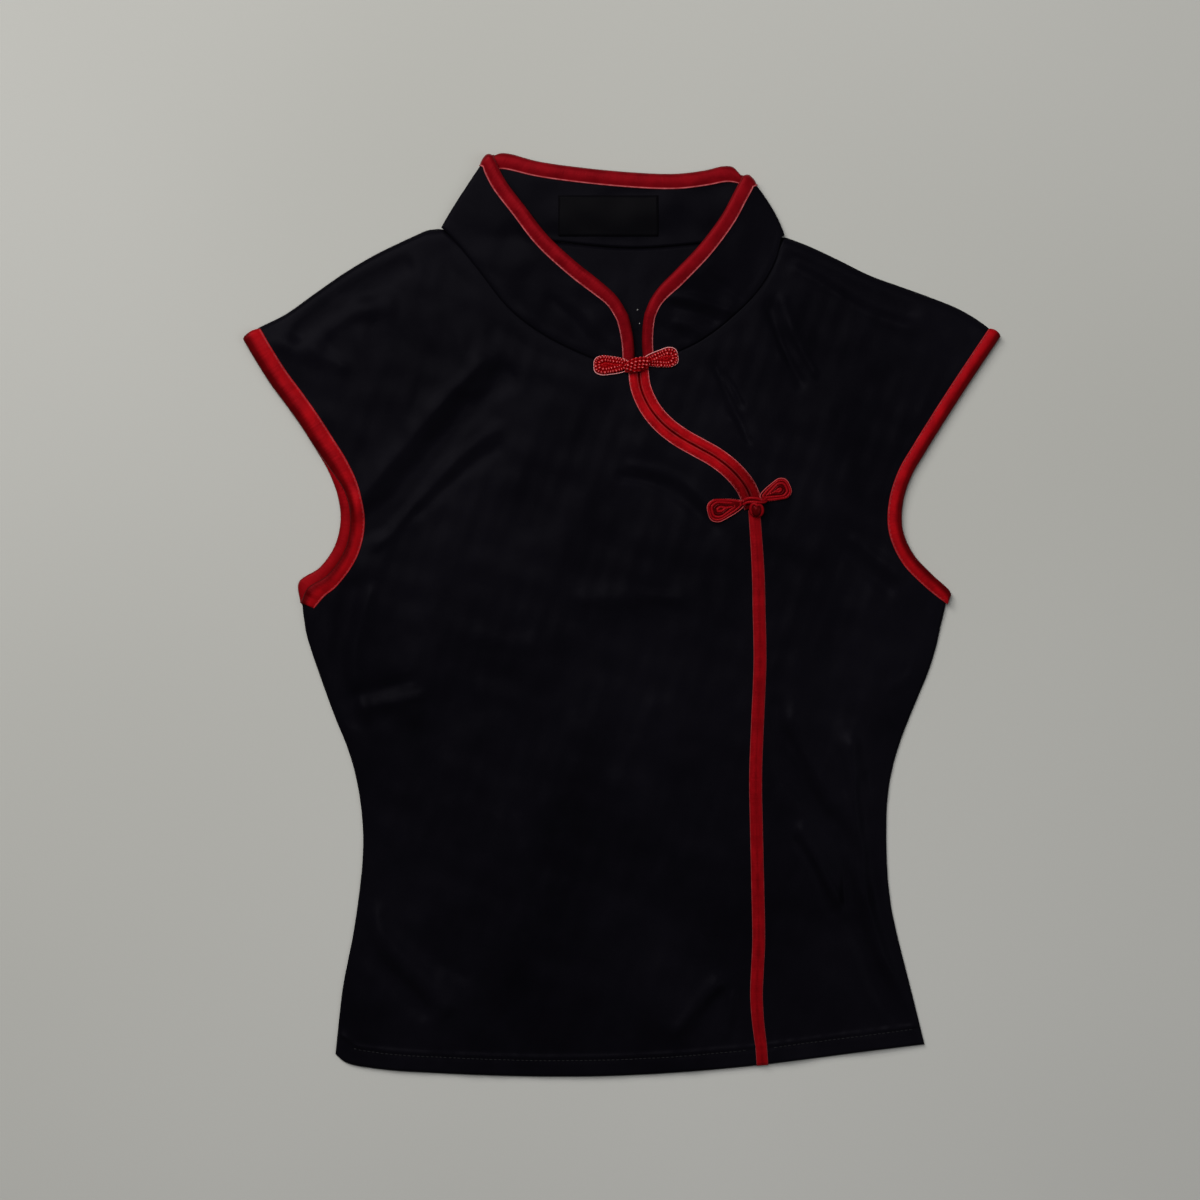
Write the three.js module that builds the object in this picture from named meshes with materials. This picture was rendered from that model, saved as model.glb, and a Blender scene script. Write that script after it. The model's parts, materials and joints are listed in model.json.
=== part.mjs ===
// Cheongsam top with cap sleeves, a stand collar and an S-curved front opening, lying flat, front up.
// Millimetres. +X is the wearer's left, +Y runs to the collar, +Z is up from the surface it lies on.
// Origin: bottom centre of the bounding box. The panels lie on each other, the seams keep a small gap.
import * as THREE from 'three';

// ---- driving dimensions ----
const CLOTH = 1.0; // wall of the body panels
const COLLAR = 1.5; // wall of the stiffened stand collar
const TAPE = 1.0; // wall of the binding tape
const GAP = 0.3; // between pieces
const BIND = 9.2; // binding width on collar and armholes
const BIND_OPENING = 6.4; // binding width on the S-curve
const BAND = 8.3; // straight band from the lower frog to the hem
const WRAP = TAPE + GAP; // how far a binding stands out past the edge that it wraps
const GROOVE = WRAP + GAP / 2; // panel edge to the middle of the S-curve groove
const SEAM = 0.45; // panel edge to collar edge, in plan
const HEM = 11; // turned hem
const HEM_STEP = 0.5; // the hem allowance lifts the cloth
const LOFT = 2.0; // how far the front stands off the back
const LOFT_RUN = 15; // how fast it rises from the outline
const FRONT_Z = CLOTH + GAP; // underside of the front where it rests on the back
const PEEK_TOP = 4.2; // back binding seen past the front one, right armhole, at the shoulder
const PEEK_UNDERARM = 7.1; // the same at the underarm
const ARM_LIFT = 0.25; // extra room under the right front armhole binding, over the twist of the cloth there
const CORD = 3.2; // frog cord
const LABEL = { x0: -40, x1: 24, y0: 242, y1: 268 }; // bare woven label inside the back collar

// ---- mesh density ----
const ROWS_SIDE = 20; // hem to underarm
const ROWS_ARM = 12; // underarm to shoulder
const ROWS_STRAIGHT = 23; // hem to lower frog
const ROWS = ROWS_SIDE + ROWS_ARM;
const COLS_SHOULDER = 10;
const COLLAR_FRONT = 11; // stations along each front half of the collar
const COLS_NECK = COLLAR_FRONT + 1;
const COLLAR_BACK = 12;
const COLLAR_ARC = 6; // steps round each side fold
const COLLAR_V = [0, 0.2, 0.42, 0.64, 0.82, 1];

const table = (names, rows) => {
  const keys = names.split(' ');
  return rows.map((row) => Object.fromEntries(keys.map((key, k) => [key, row[k]])));
};

// ---- outline, right is the wearer's right (-X) ----
const SIDE_R = table('x y', [
  [-183, -282], [-177.5, -234], [-172, -208.5], [-167.5, -176.5], [-165, -151], [-167, -119],
  [-173.5, -90], [-182.5, -68], [-192, -42], [-200.5, -16.5], [-205.3, 7.3],
]);
const ARM_R = table('x y', [
  [-206.6, 20.3], [-197, 27], [-189.5, 33.5], [-182, 47.5], [-179.8, 60], [-181, 73], [-185, 86],
  [-191.5, 98.5], [-207.5, 124], [-226.5, 150], [-241.9, 175.4],
]);
const SHOULDER_R = table('x y', [
  [-241.9, 175.4], [-233.6, 182.4], [-215, 192], [-196, 205.5], [-176.5, 219], [-157.5, 230.2],
  [-141, 238.3], [-130.5, 243.1], [-124, 245.8], [-115.2, 247],
]);
const SIDE_L = table('x y', [
  [194.6, -275.8], [187.5, -247], [181, -221.5], [174.7, -196], [171.5, -176.5], [170.2, -151],
  [170.2, -125.5], [172.2, -106], [179.2, -80.5], [189.5, -55], [199.7, -29.5], [204.2, -10],
  [209.4, 8.2],
]);
const ARM_L = table('x y', [
  [211.4, 13], [203, 21.8], [190, 34.6], [182.4, 47.4], [179.8, 60], [181, 73], [185, 86],
  [191.9, 98.5], [207.6, 124], [224.5, 150], [242.6, 177],
]);
const SHOULDER_L = table('x y', [
  [105, 241.7], [121, 235.5], [140, 226.6], [159.4, 217], [178.6, 210], [198, 203], [217, 195.2],
  [232, 186], [242.6, 177],
]);
const HEM_LINE = table('x y', [
  [-183, -282], [-176.5, -287.4], [-154, -291.8], [-116, -294.4], [-64.5, -296.3], [-13.5, -296.3],
  [38, -293.8], [90.6, -289], [114.6, -286], [153, -281], [194.6, -275.8],
]);
const STRAIGHT = table('x y', [
  [90.6, -289], [89.1, -270], [87, -255], [86.7, -240], [88.1, -210], [87.6, -180], [86.6, -135],
  [86.1, -105], [87.1, -75], [88.9, -30], [88.2, 7], [87.7, 30], [86.2, 47.4], [85.1, 68.5],
]);
const S_CURVE = table('x y', [
  [85.1, 68.5], [82.4, 76.8], [77.4, 84.5], [70.3, 92.6], [59.9, 100.6], [46, 108.4], [35, 115],
  [25, 123.5], [17.3, 133.8], [12.2, 146.6], [10.9, 158.4],
]);
// collar seam edge (neck) and free edge (top), the fold at each side given by its centre line
const COLLAR_NECK_R = table('x y', [
  [7.4, 159], [-13.4, 162.2], [-31.4, 169.2], [-51.8, 180.1], [-72.3, 196.1], [-91.2, 220.2],
  [-104.8, 237], [-113.4, 246.1],
]);
const COLLAR_NECK_L = table('x y', [
  [16, 159.2], [32.6, 166.2], [50.4, 174.6], [69.4, 188.6], [88.3, 207.6], [98.6, 225.2], [103, 241.4],
]);
const COLLAR_NECK_B = table('x y', [
  [-113.4, 247], [-77.4, 242.3], [-40.3, 238.6], [7, 234.8], [50.6, 237.8], [82.6, 241.6], [103, 242.2],
]);
const COLLAR_TOP_R = table('x y z', [
  [3.4, 190.5, 8.6], [-3.2, 201.3, 9.2], [-12.7, 210.3, 9.4], [-30.2, 224.4, 9], [-48, 241.2, 8.4],
  [-61.9, 259.2, 7.8], [-74.8, 276.6, 7.3], [-82.3, 291.8, 7.1],
]);
const COLLAR_TOP_L = table('x y z', [
  [16, 191.2, 8.2], [19.6, 199.8, 8.6], [24.9, 207.6, 9], [36.4, 219.3, 9.6], [51.4, 235.3, 9.2],
  [65.4, 254.4, 8.2], [72.6, 268, 7.5], [78.2, 278.6, 7.1],
]);
const COLLAR_TOP_B = table('x y', [
  [-82.3, 291.8], [-79, 293.1], [-72, 293.1], [-51.8, 288.6], [-23, 284.6], [5.8, 281.9], [28, 280.8], [40, 281.2],
  [53.8, 283], [66, 285.1], [73.5, 283.9], [78.2, 278.6],
]);
const FOLD_R = { x: -0.851, y: 0.524 }; // outward across the right side fold of the collar
const FOLD_L = { x: 0.861, y: 0.508 };
const FOLD_BOW = { right: 0.9, left: 2.6 }; // how far each side fold bulges between neck and free edge
const FOLD_Z = { neckBack: COLLAR / 2, neckFront: 3.3, topBack: COLLAR / 2 + WRAP, topFront: 7.1 };

// ---- the larger soft folds of the front: a line, its half width and its height (down if negative) ----
const FOLDS = table('x0 y0 x1 y1 width height', [
  [-162, 56, -75, 152, 9, -1.1], [-171, 68, -86, 163, 9, 0.9], [-152, 55, -99, 138, 8, -0.6],
  [-205, 180, -163, 210, 8, -0.9], [-163, 210, -140, 222, 8, -0.9], [-219, 172, -179, 159, 9, 0.7],
  [-172, 17, -182, -38, 9, -0.9], [-182, -38, -173, -68, 9, -0.9], [-176, -54, -129, -42, 7, -0.5],
  [-169, -210, -125, -253, 8, -1.1], [-157, -205, -114, -252, 8, 1.1], [36, -264, 60, -238, 7, 0.9],
  [50, -268, 66, -242, 6, -1.1], [97, -47, 117, -104, 8, -0.9], [117, -104, 151, -190, 8, -0.9],
  [112, -66, 140, -128, 8, 0.9], [147, -74, 156, -182, 8, 1.1], [156, -182, 186, -245, 8, 1.0],
  [-3, -110, 21, -62, 14, 0.6], [-23, 9, 37, 9, 12, 0.5], [8, 88, 37, 76, 8, -0.5],
  [37, 76, 60, 56, 8, -0.5], [95, 196, 115, 149, 8, -0.9], [60, 159, 80, 111, 7, -0.6],
  [107, 229, 154, 203, 9, -1.1], [154, 203, 181, 193, 9, -1.0], [143, 40, 171, 17, 8, -0.8],
]);

// ---- small geometry helpers ----
const smooth = (a, b, t) => THREE.MathUtils.smoothstep(t, a, b);
const lerp = THREE.MathUtils.lerp;
const vec = (p) => new THREE.Vector3(p.x, p.y, p.z || 0);
const curve = (rows) => new THREE.CatmullRomCurve3(rows.map(vec), false, 'centripetal');
const along = (rows, steps) => curve(rows).getSpacedPoints(steps);

function distance(line, x, y) {
  let best = Infinity;
  for (let k = 0; k + 1 < line.length; k += 1) {
    const a = line[k];
    const b = line[k + 1];
    const dx = b.x - a.x;
    const dy = b.y - a.y;
    const t = THREE.MathUtils.clamp(((x - a.x) * dx + (y - a.y) * dy) / (dx * dx + dy * dy), 0, 1);
    best = Math.min(best, Math.hypot(a.x + dx * t - x, a.y + dy * t - y));
  }
  return best;
}

// Moves a polyline sideways, `by` millimetres to the left of its direction at each vertex, mitred.
function offset(line, by) {
  return line.map((p, k) => {
    const normals = [];
    for (const [a, b] of [[line[k - 1], p], [p, line[k + 1]]]) {
      if (a && b) {
        const len = Math.hypot(b.x - a.x, b.y - a.y);
        normals.push({ x: -(b.y - a.y) / len, y: (b.x - a.x) / len });
      }
    }
    const first = normals[0];
    const last = normals[normals.length - 1];
    const sum = { x: first.x + last.x, y: first.y + last.y };
    const scale = (2 * (typeof by === 'function' ? by(k) : by)) / (sum.x * sum.x + sum.y * sum.y);
    return new THREE.Vector3(p.x + sum.x * scale, p.y + sum.y * scale, 0);
  });
}

// Point at a given arc length from the start of a polyline.
function pointAt(line, length) {
  let left = length;
  for (let k = 0; k + 1 < line.length; k += 1) {
    const step = line[k].distanceTo(line[k + 1]);
    if (left <= step) {
      return line[k].clone().lerp(line[k + 1], left / step);
    }
    left -= step;
  }
  return line[line.length - 1].clone();
}

function lengthOf(line) {
  let sum = 0;
  for (let k = 0; k + 1 < line.length; k += 1) {
    sum += line[k].distanceTo(line[k + 1]);
  }
  return sum;
}

// ---- meshes ----
function geometry(vertices, triangles) {
  const flat = triangles.slice();
  let volume = 0;
  const cross = new THREE.Vector3();
  for (let k = 0; k < flat.length; k += 3) {
    const [a, b, c] = [vertices[flat[k]], vertices[flat[k + 1]], vertices[flat[k + 2]]];
    volume += cross.crossVectors(b, c).dot(a);
  }
  if (volume < 0) {
    for (let k = 0; k < flat.length; k += 3) {
      [flat[k + 1], flat[k + 2]] = [flat[k + 2], flat[k + 1]];
    }
  }
  const g = new THREE.BufferGeometry();
  g.setAttribute('position', new THREE.Float32BufferAttribute(vertices.flatMap((p) => p.toArray()), 3));
  g.setIndex(flat);
  g.computeVertexNormals();
  return g;
}

// A closed wall between two grids of the same size, [row][column].
function wall(outer, inner) {
  const rows = outer.length;
  const cols = outer[0].length;
  const vertices = [...outer.flat(), ...inner.flat()];
  const id = (j, i, side) => side * rows * cols + j * cols + i;
  const triangles = [];
  for (let j = 0; j + 1 < rows; j += 1) {
    for (let i = 0; i + 1 < cols; i += 1) {
      const swap = outer[j][i].distanceTo(outer[j + 1][i + 1]) > outer[j][i + 1].distanceTo(outer[j + 1][i]);
      for (const side of [0, 1]) {
        const q = [id(j, i, side), id(j, i + 1, side), id(j + 1, i + 1, side), id(j + 1, i, side)];
        const two = swap ? [q[0], q[1], q[3], q[1], q[2], q[3]] : [q[0], q[1], q[2], q[0], q[2], q[3]];
        triangles.push(...(side ? two.reverse() : two));
      }
    }
  }
  const loop = [];
  for (let i = 0; i + 1 < cols; i += 1) loop.push([0, i]);
  for (let j = 0; j + 1 < rows; j += 1) loop.push([j, cols - 1]);
  for (let i = cols - 1; i > 0; i -= 1) loop.push([rows - 1, i]);
  for (let j = rows - 1; j > 0; j -= 1) loop.push([j, 0]);
  loop.forEach(([j, i], k) => {
    const [jn, in_] = loop[(k + 1) % loop.length];
    const [a, b, c, d] = [id(j, i, 0), id(jn, in_, 0), id(jn, in_, 1), id(j, i, 1)];
    triangles.push(a, d, c, a, c, b);
  });
  return geometry(vertices, triangles);
}

// A closed section carried through stations; `caps` lists the quads that close a section.
function sweep(sections, caps) {
  const n = sections[0].length;
  const vertices = sections.flat();
  const triangles = [];
  for (let s = 0; s + 1 < sections.length; s += 1) {
    for (let k = 0; k < n; k += 1) {
      const [a, b] = [s * n + k, s * n + ((k + 1) % n)];
      triangles.push(a, b, b + n, a, b + n, a + n);
    }
  }
  const last = (sections.length - 1) * n;
  for (const [a, b, c, d] of caps) {
    triangles.push(a, c, b, a, d, c);
    triangles.push(last + a, last + b, last + c, last + a, last + c, last + d);
  }
  return geometry(vertices, triangles);
}

// ---- boundaries, all running from hem to top or from right to left ----
const sideR = along(SIDE_R, ROWS_SIDE - 2);
const sideL = along(SIDE_L, ROWS_SIDE - 2);
const armR = [vec(SIDE_R[SIDE_R.length - 1]), ...along(ARM_R, ROWS_ARM - 1)];
const armL = [vec(SIDE_L[SIDE_L.length - 1]), ...along(ARM_L, ROWS_ARM - 1)];
armR[0].x -= 0.4;
const hemLine = along(HEM_LINE, 200);
const outline = [...sideR, ...armR, ...along(SHOULDER_R, 30)];
const outlineL = [...sideL, ...armL];
const shoulderL = along(SHOULDER_L, 30);
const seamR = along(COLLAR_NECK_R, COLLAR_FRONT);
const seamL = along(COLLAR_NECK_L, COLLAR_FRONT);
const seamB = along(COLLAR_NECK_B, COLLAR_BACK);
const edgeR = offset(seamR, SEAM);
const edgeL = offset(seamL, -SEAM);
const edgeB = offset(seamB, -SEAM);
edgeR[COLLAR_FRONT].set(SHOULDER_R[SHOULDER_R.length - 1].x, SHOULDER_R[SHOULDER_R.length - 1].y - SEAM, 0);
edgeL[COLLAR_FRONT].set(SHOULDER_L[0].x, SHOULDER_L[0].y - SEAM, 0);
const neckPoints = [edgeR[COLLAR_FRONT], edgeL[COLLAR_FRONT]];
const neckLine = [...edgeR, ...[...edgeL].reverse()];

// Rows from the hem: the hem edge, two rows at the hem stitching, then even steps.
function withHemRows(line, steps) {
  const whole = lengthOf(line);
  const start = HEM + 1.5;
  const rows = [pointAt(line, 0), pointAt(line, HEM), pointAt(line, start)];
  for (let k = 1; k <= steps; k += 1) {
    rows.push(pointAt(line, start + ((whole - start) * k) / steps));
  }
  return rows;
}

// Height of the underside of the front: flat on the back at the outline, lofted inside, room under the
// armhole bindings and at the neck points, with the soft folds added.
function underside(x, y) {
  const arm = Math.min(distance(armR, x, y), distance(armL, x, y));
  const edge = Math.min(distance(outline, x, y), distance(outlineL, x, y), distance(shoulderL, x, y));
  const hem = distance(hemLine, x, y);
  const neck = Math.min(...neckPoints.map((p) => Math.hypot(p.x - x, p.y - y)));
  const loft = LOFT * (1 - Math.exp(-edge / LOFT_RUN)) * (0.35 + 0.65 * smooth(0, 45, hem));
  const bindingRoom = (WRAP + 0.05) * (1 - smooth(11, 26, arm));
  const neckRoom = 1.5 * (1 - smooth(4, 40, neck));
  const calm = smooth(2, 18, Math.min(arm, edge)) * smooth(2, 18, distance(neckLine, x, y));
  let fold = 0;
  for (const f of FOLDS) {
    const d = distance([{ x: f.x0, y: f.y0 }, { x: f.x1, y: f.y1 }], x, y) / f.width;
    fold += f.height * Math.exp(-d * d);
  }
  const body = Math.max(loft, bindingRoom, neckRoom);
  return FRONT_Z + Math.max(body + fold * calm, bindingRoom, neckRoom * 0.9, 0.1 * smooth(0, 10, edge));
}

// ---- front panels: a grid with a narrow strip of cells under each binding ----
function frontGrid({ left, right, hem, top, stripLeft, stripRight }) {
  const rows = left.length;
  const cols = hem.length;
  const inLeft = offset(left, (j) => -stripLeft(j));
  const inRight = offset(right, (j) => stripRight(j));
  const plan = left.map(() => new Array(cols));
  const put = (j, i, p) => {
    plan[j][i] = new THREE.Vector3(p.x, p.y, 0);
  };
  for (let i = 0; i < cols; i += 1) {
    const u = i / (cols - 1);
    for (const j of [0, 1, 2]) {
      const dl = left[j].clone().sub(left[0]);
      const dr = right[j].clone().sub(right[0]);
      put(j, i, hem[i].clone().add(dl.lerp(dr, u)));
    }
    put(rows - 1, i, top[i]);
  }
  for (let j = 3; j + 1 < rows; j += 1) {
    put(j, 0, left[j]);
    put(j, 1, inLeft[j]);
    put(j, cols - 2, inRight[j]);
    put(j, cols - 1, right[j]);
  }
  const bottom = plan[2];
  const upper = plan[rows - 1];
  for (let j = 3; j + 1 < rows; j += 1) {
    const v = (j - 2) / (rows - 3);
    for (let i = 2; i < cols - 2; i += 1) {
      const u = (i - 1) / (cols - 3);
      const p = plan[j][1].clone().lerp(plan[j][cols - 2], u);
      const chordLow = bottom[1].clone().lerp(bottom[cols - 2], u);
      const chordTop = upper[1].clone().lerp(upper[cols - 2], u);
      p.addScaledVector(bottom[i].clone().sub(chordLow), (1 - v) ** 2);
      p.addScaledVector(upper[i].clone().sub(chordTop), v ** 2);
      put(j, i, p);
    }
  }
  const inner = plan.map((row) => row.map((p) => new THREE.Vector3(p.x, p.y, underside(p.x, p.y))));
  const outer = inner.map((row, j) => row.map((p) => {
    const lift = j < 2 ? HEM_STEP : 0;
    return new THREE.Vector3(p.x, p.y, p.z + CLOTH + lift);
  }));
  return { inner, outer };
}

// Vertices of a curve from its start to its end with the first or last step of a given length.
function stepped(line, count, first, last) {
  const whole = lengthOf(line);
  const points = [];
  const inside = count - (first ? 1 : 0) - (last ? 1 : 0);
  for (let k = 0; k <= inside; k += 1) {
    points.push(pointAt(line, first + ((whole - first - last) * k) / inside));
  }
  if (first) points.unshift(pointAt(line, 0));
  if (last) points.push(pointAt(line, whole));
  return points;
}

const peek = (j) => {
  const k = j - ROWS_SIDE;
  if (k <= 0) return 0;
  if (k === 1) return PEEK_UNDERARM / 2;
  return lerp(PEEK_UNDERARM, PEEK_TOP, smooth(2.5, 7.5, k));
};
// the armhole edge of the cloth lies inside its binding
const isArm = (j) => j > ROWS_SIDE;
const inset = (line, side, extra) => offset(line, (j) => side * (WRAP * (isArm(j) ? 1 : 0) + extra(j)));
const none = () => 0;
const rawR = [...withHemRows(sideR, ROWS_SIDE - 2), ...armR.slice(1)];
const rawL = [...withHemRows(sideL, ROWS_SIDE - 2), ...armL.slice(1)];
rawR[ROWS_SIDE].x += 1;
rawL[ROWS_SIDE].x -= 1;
const backEdgeR = inset(rawR, -1, none);
const backEdgeL = inset(rawL, 1, none);
const frontEdgeR = inset(rawR, -1, peek);
const frontEdgeL = inset(rawL, 1, none);

const straight = withHemRows(along(STRAIGHT, 120), ROWS_STRAIGHT - 2);
straight[ROWS_STRAIGHT - 1] = pointAt(along(STRAIGHT, 120), lengthOf(along(STRAIGHT, 120)) - 2);
const sCurve = along(S_CURVE, ROWS - ROWS_STRAIGHT);
const opening = [...straight.slice(0, -1), ...sCurve];
const openGap = (j) => (j < ROWS_STRAIGHT ? GAP / 2 : GROOVE);
const openingR = offset(opening, (j) => openGap(j));
const openingL = offset(opening, (j) => -openGap(j));
// both fronts end on the collar's seam line, carried on to the groove
const onSeam = (edge, line) => {
  const [p, q] = line.slice(-2);
  const along = q.clone().sub(p);
  const seam = edge[1].clone().sub(edge[0]);
  const from = edge[0].clone().sub(p);
  return p.clone().addScaledVector(along, (from.x * seam.y - from.y * seam.x) / (along.x * seam.y - along.y * seam.x));
};
openingR[ROWS] = onSeam(edgeR, openingR);
openingL[ROWS] = onSeam(edgeL, openingL);
const stripOpening = (j) => (j < ROWS_STRAIGHT ? BAND / 2 - GAP / 2 : BIND_OPENING - WRAP);
const stripArm = () => BIND - WRAP;

function part(line, from, to) {
  const near = (p) => {
    let best = 0;
    line.forEach((q, k) => {
      if (q.distanceTo(p) < line[best].distanceTo(p)) best = k;
    });
    return best;
  };
  return [from.clone(), ...line.slice(near(from) + 1, near(to)), to.clone()];
}

const flatten = (p) => new THREE.Vector3(p.x, p.y, 0);
const shoulderR = part(along(SHOULDER_R, 120), frontEdgeR[ROWS], neckPoints[0]);
const shoulderLeft = part(along(SHOULDER_L, 120), neckPoints[1], frontEdgeL[ROWS]);
const hemR = part(hemLine, frontEdgeR[0], openingR[0]);
const hemL = part(hemLine, openingL[0], frontEdgeL[0]);
const narrow = BIND_OPENING - WRAP;
const wide = BIND - WRAP;

// neck edge of a front from the opening: its corner, the strip under the binding, the collar's stations
const neckColumns = (edge, corner) => [corner, pointAt([corner, edge[1]], narrow), ...edge.slice(1)];
const neckR = neckColumns(edgeR, openingR[ROWS]).reverse();
const neckL = neckColumns(edgeL, openingL[ROWS]);

const frontR = frontGrid({
  left: frontEdgeR,
  right: openingR,
  hem: stepped(hemR, COLS_SHOULDER + COLS_NECK, wide, BAND / 2),
  top: [...stepped(shoulderR, COLS_SHOULDER, wide + 0.4, 0), ...neckR.slice(1)],
  stripLeft: stripArm,
  stripRight: stripOpening,
});
const frontL = frontGrid({
  left: openingL,
  right: frontEdgeL,
  hem: stepped(hemL, COLS_NECK + COLS_SHOULDER, BAND / 2, wide),
  top: [...neckL, ...stepped(shoulderLeft, COLS_SHOULDER, 0, wide + 0.4).slice(1)],
  stripLeft: stripOpening,
  stripRight: stripArm,
});

// ---- back panel, flat on the surface ----
const backOutline = [
  ...backEdgeR,
  ...part(along(SHOULDER_R, 20), backEdgeR[ROWS], neckPoints[0]).slice(1, -1),
  neckPoints[0],
  ...edgeB.slice(1, -1),
  neckPoints[1],
  ...part(along(SHOULDER_L, 20), neckPoints[1], backEdgeL[ROWS]).slice(1, -1),
  ...[...backEdgeL].reverse(),
  ...part(along(HEM_LINE, 30), backEdgeR[0], backEdgeL[0]).slice(1, -1).reverse(),
];
const backShape = new THREE.Shape(backOutline.map((p) => new THREE.Vector2(p.x, p.y)));
const backGeometry = new THREE.ExtrudeGeometry(backShape, { depth: CLOTH, bevelEnabled: false, steps: 1 });

// ---- collar: one band from the right front edge, round the back, to the left front edge ----
const neckZ = (p, k) => Math.max(
  underside(p.x, p.y) + CLOTH / 2,
  lerp(0, FOLD_Z.neckFront, smooth(0.6, 1, k / COLLAR_FRONT)),
);
const backZ = (v) => lerp(FOLD_Z.neckBack, FOLD_Z.topBack, smooth(0, 0.64, v));
const arcZ = (v) => lerp(FOLD_Z.neckFront, FOLD_Z.topFront, v);

function frontHalf(seam, topRows) {
  const free = along(topRows, COLLAR_FRONT);
  return seam.map((p, k) => (v) => {
    const q = new THREE.Vector3(lerp(p.x, free[k].x, v), lerp(p.y, free[k].y, v), 0);
    q.z = lerp(k === COLLAR_FRONT ? FOLD_Z.neckFront : neckZ(p, k), free[k].z, v);
    return q;
  });
}

function backHalf() {
  const free = along(COLLAR_TOP_B, COLLAR_BACK);
  return seamB.map((p, k) => (v) => {
    const q = new THREE.Vector3(lerp(p.x, free[k].x, v), lerp(p.y, free[k].y, v), 0);
    q.z = backZ(v);
    return q;
  });
}

// Half a turn round a side fold, growing from the neck to the free edge.
function foldArc(front, back, out, up) {
  return Array.from({ length: COLLAR_ARC - 1 }, (unused, n) => (v) => {
    const t = (n + 1) / COLLAR_ARC;
    const angle = (up ? -1 : 1) * (Math.PI / 2 - Math.PI * t);
    const [high, low] = [arcZ(v), backZ(v)];
    const r = (high - low) / 2;
    const centre = front(v).lerp(back(v), up ? 1 - t : t);
    return new THREE.Vector3(
      centre.x + out.x * r * Math.cos(angle),
      centre.y + out.y * r * Math.cos(angle),
      (high + low) / 2 + r * Math.sin(angle),
    );
  });
}

const halfR = frontHalf(seamR, COLLAR_TOP_R);
const halfL = frontHalf(seamL, COLLAR_TOP_L);
const halfB = backHalf();
const stations = [
  ...halfR,
  ...foldArc(halfR[COLLAR_FRONT], halfB[0], FOLD_R, false),
  ...halfB,
  ...foldArc(halfL[COLLAR_FRONT], halfB[COLLAR_BACK], FOLD_L, true),
  ...[...halfL].reverse(),
];
// the front edges bow a little, so their lower part stays upright
const collarMid = COLLAR_V.map((v) => stations.map((station, k) => {
  const p = station(v);
  const fromEdge = Math.min(k, stations.length - 1 - k);
  const right = k < stations.length / 2;
  p.x += (right ? 1 : -1) * 5.6 * v * (1 - v) * Math.exp(-fromEdge / 2);
  const fromFold = Math.max(0, Math.abs(fromEdge - COLLAR_FRONT - COLLAR_ARC / 2) - COLLAR_ARC / 2);
  const bow = 4 * v * (1 - v) * (right ? FOLD_BOW.right : FOLD_BOW.left) * Math.exp(-fromFold / 2);
  const out = right ? FOLD_R : FOLD_L;
  p.x += out.x * bow;
  p.y += out.y * bow;
  return p;
}));

function normals(grid) {
  return grid.map((row, j) => row.map((p, i) => {
    const du = (row[i + 1] || p).clone().sub(row[i - 1] || p);
    const dv = (grid[j + 1] ? grid[j + 1][i] : p).clone().sub(grid[j - 1] ? grid[j - 1][i] : p);
    return du.cross(dv).normalize();
  }));
}

const collarNormals = normals(collarMid);
const shifted = (grid, dirs, by) => grid.map((row, j) => row.map((p, i) => p.clone().addScaledVector(dirs[j][i], by)));
const collarA = shifted(collarMid, collarNormals, COLLAR / 2);
const collarB = shifted(collarMid, collarNormals, -COLLAR / 2);

// ---- bindings ----
const U_CAPS = [[0, 1, 6, 7], [1, 2, 5, 6], [2, 3, 4, 5]];
const L_CAPS = [[0, 1, 2, 5], [5, 2, 3, 4]];

// The collar binding wraps the front edges and the free edge with a U section. On the front halves its
// legs end on the band's own surface; round the folds and the back they follow the band's stations.
const lastRow = COLLAR_V.length - 1;
const lastStation = stations.length - 1;
const edgePath = [];
COLLAR_V.forEach((v, j) => edgePath.push([j, 0]));
for (let i = 1; i <= lastStation; i += 1) edgePath.push([lastRow, i]);
for (let j = lastRow - 1; j >= 0; j -= 1) edgePath.push([j, lastStation]);

function midMesh(from, to) {
  const rows = collarMid.map((row) => row.slice(from, to + 1));
  const cols = rows[0].length;
  const triangles = [];
  for (let j = 0; j + 1 < rows.length; j += 1) {
    for (let i = 0; i + 1 < cols; i += 1) {
      const a = j * cols + i;
      triangles.push(a, a + 1, a + 1 + cols, a, a + 1 + cols, a + cols);
    }
  }
  const mesh = new THREE.Mesh(geometry(rows.flat(), triangles), new THREE.MeshBasicMaterial());
  mesh.material.side = THREE.DoubleSide;
  mesh.updateMatrixWorld(true);
  return mesh;
}

const frontMid = [midMesh(0, COLLAR_FRONT), midMesh(lastStation - COLLAR_FRONT, lastStation)];
const down = new THREE.Raycaster();

function onFront(p, half) {
  down.set(new THREE.Vector3(p.x, p.y, 40), new THREE.Vector3(0, 0, -1));
  const hit = down.intersectObject(frontMid[half], false)[0];
  return hit ? new THREE.Vector3(p.x, p.y, hit.point.z) : null;
}

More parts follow.
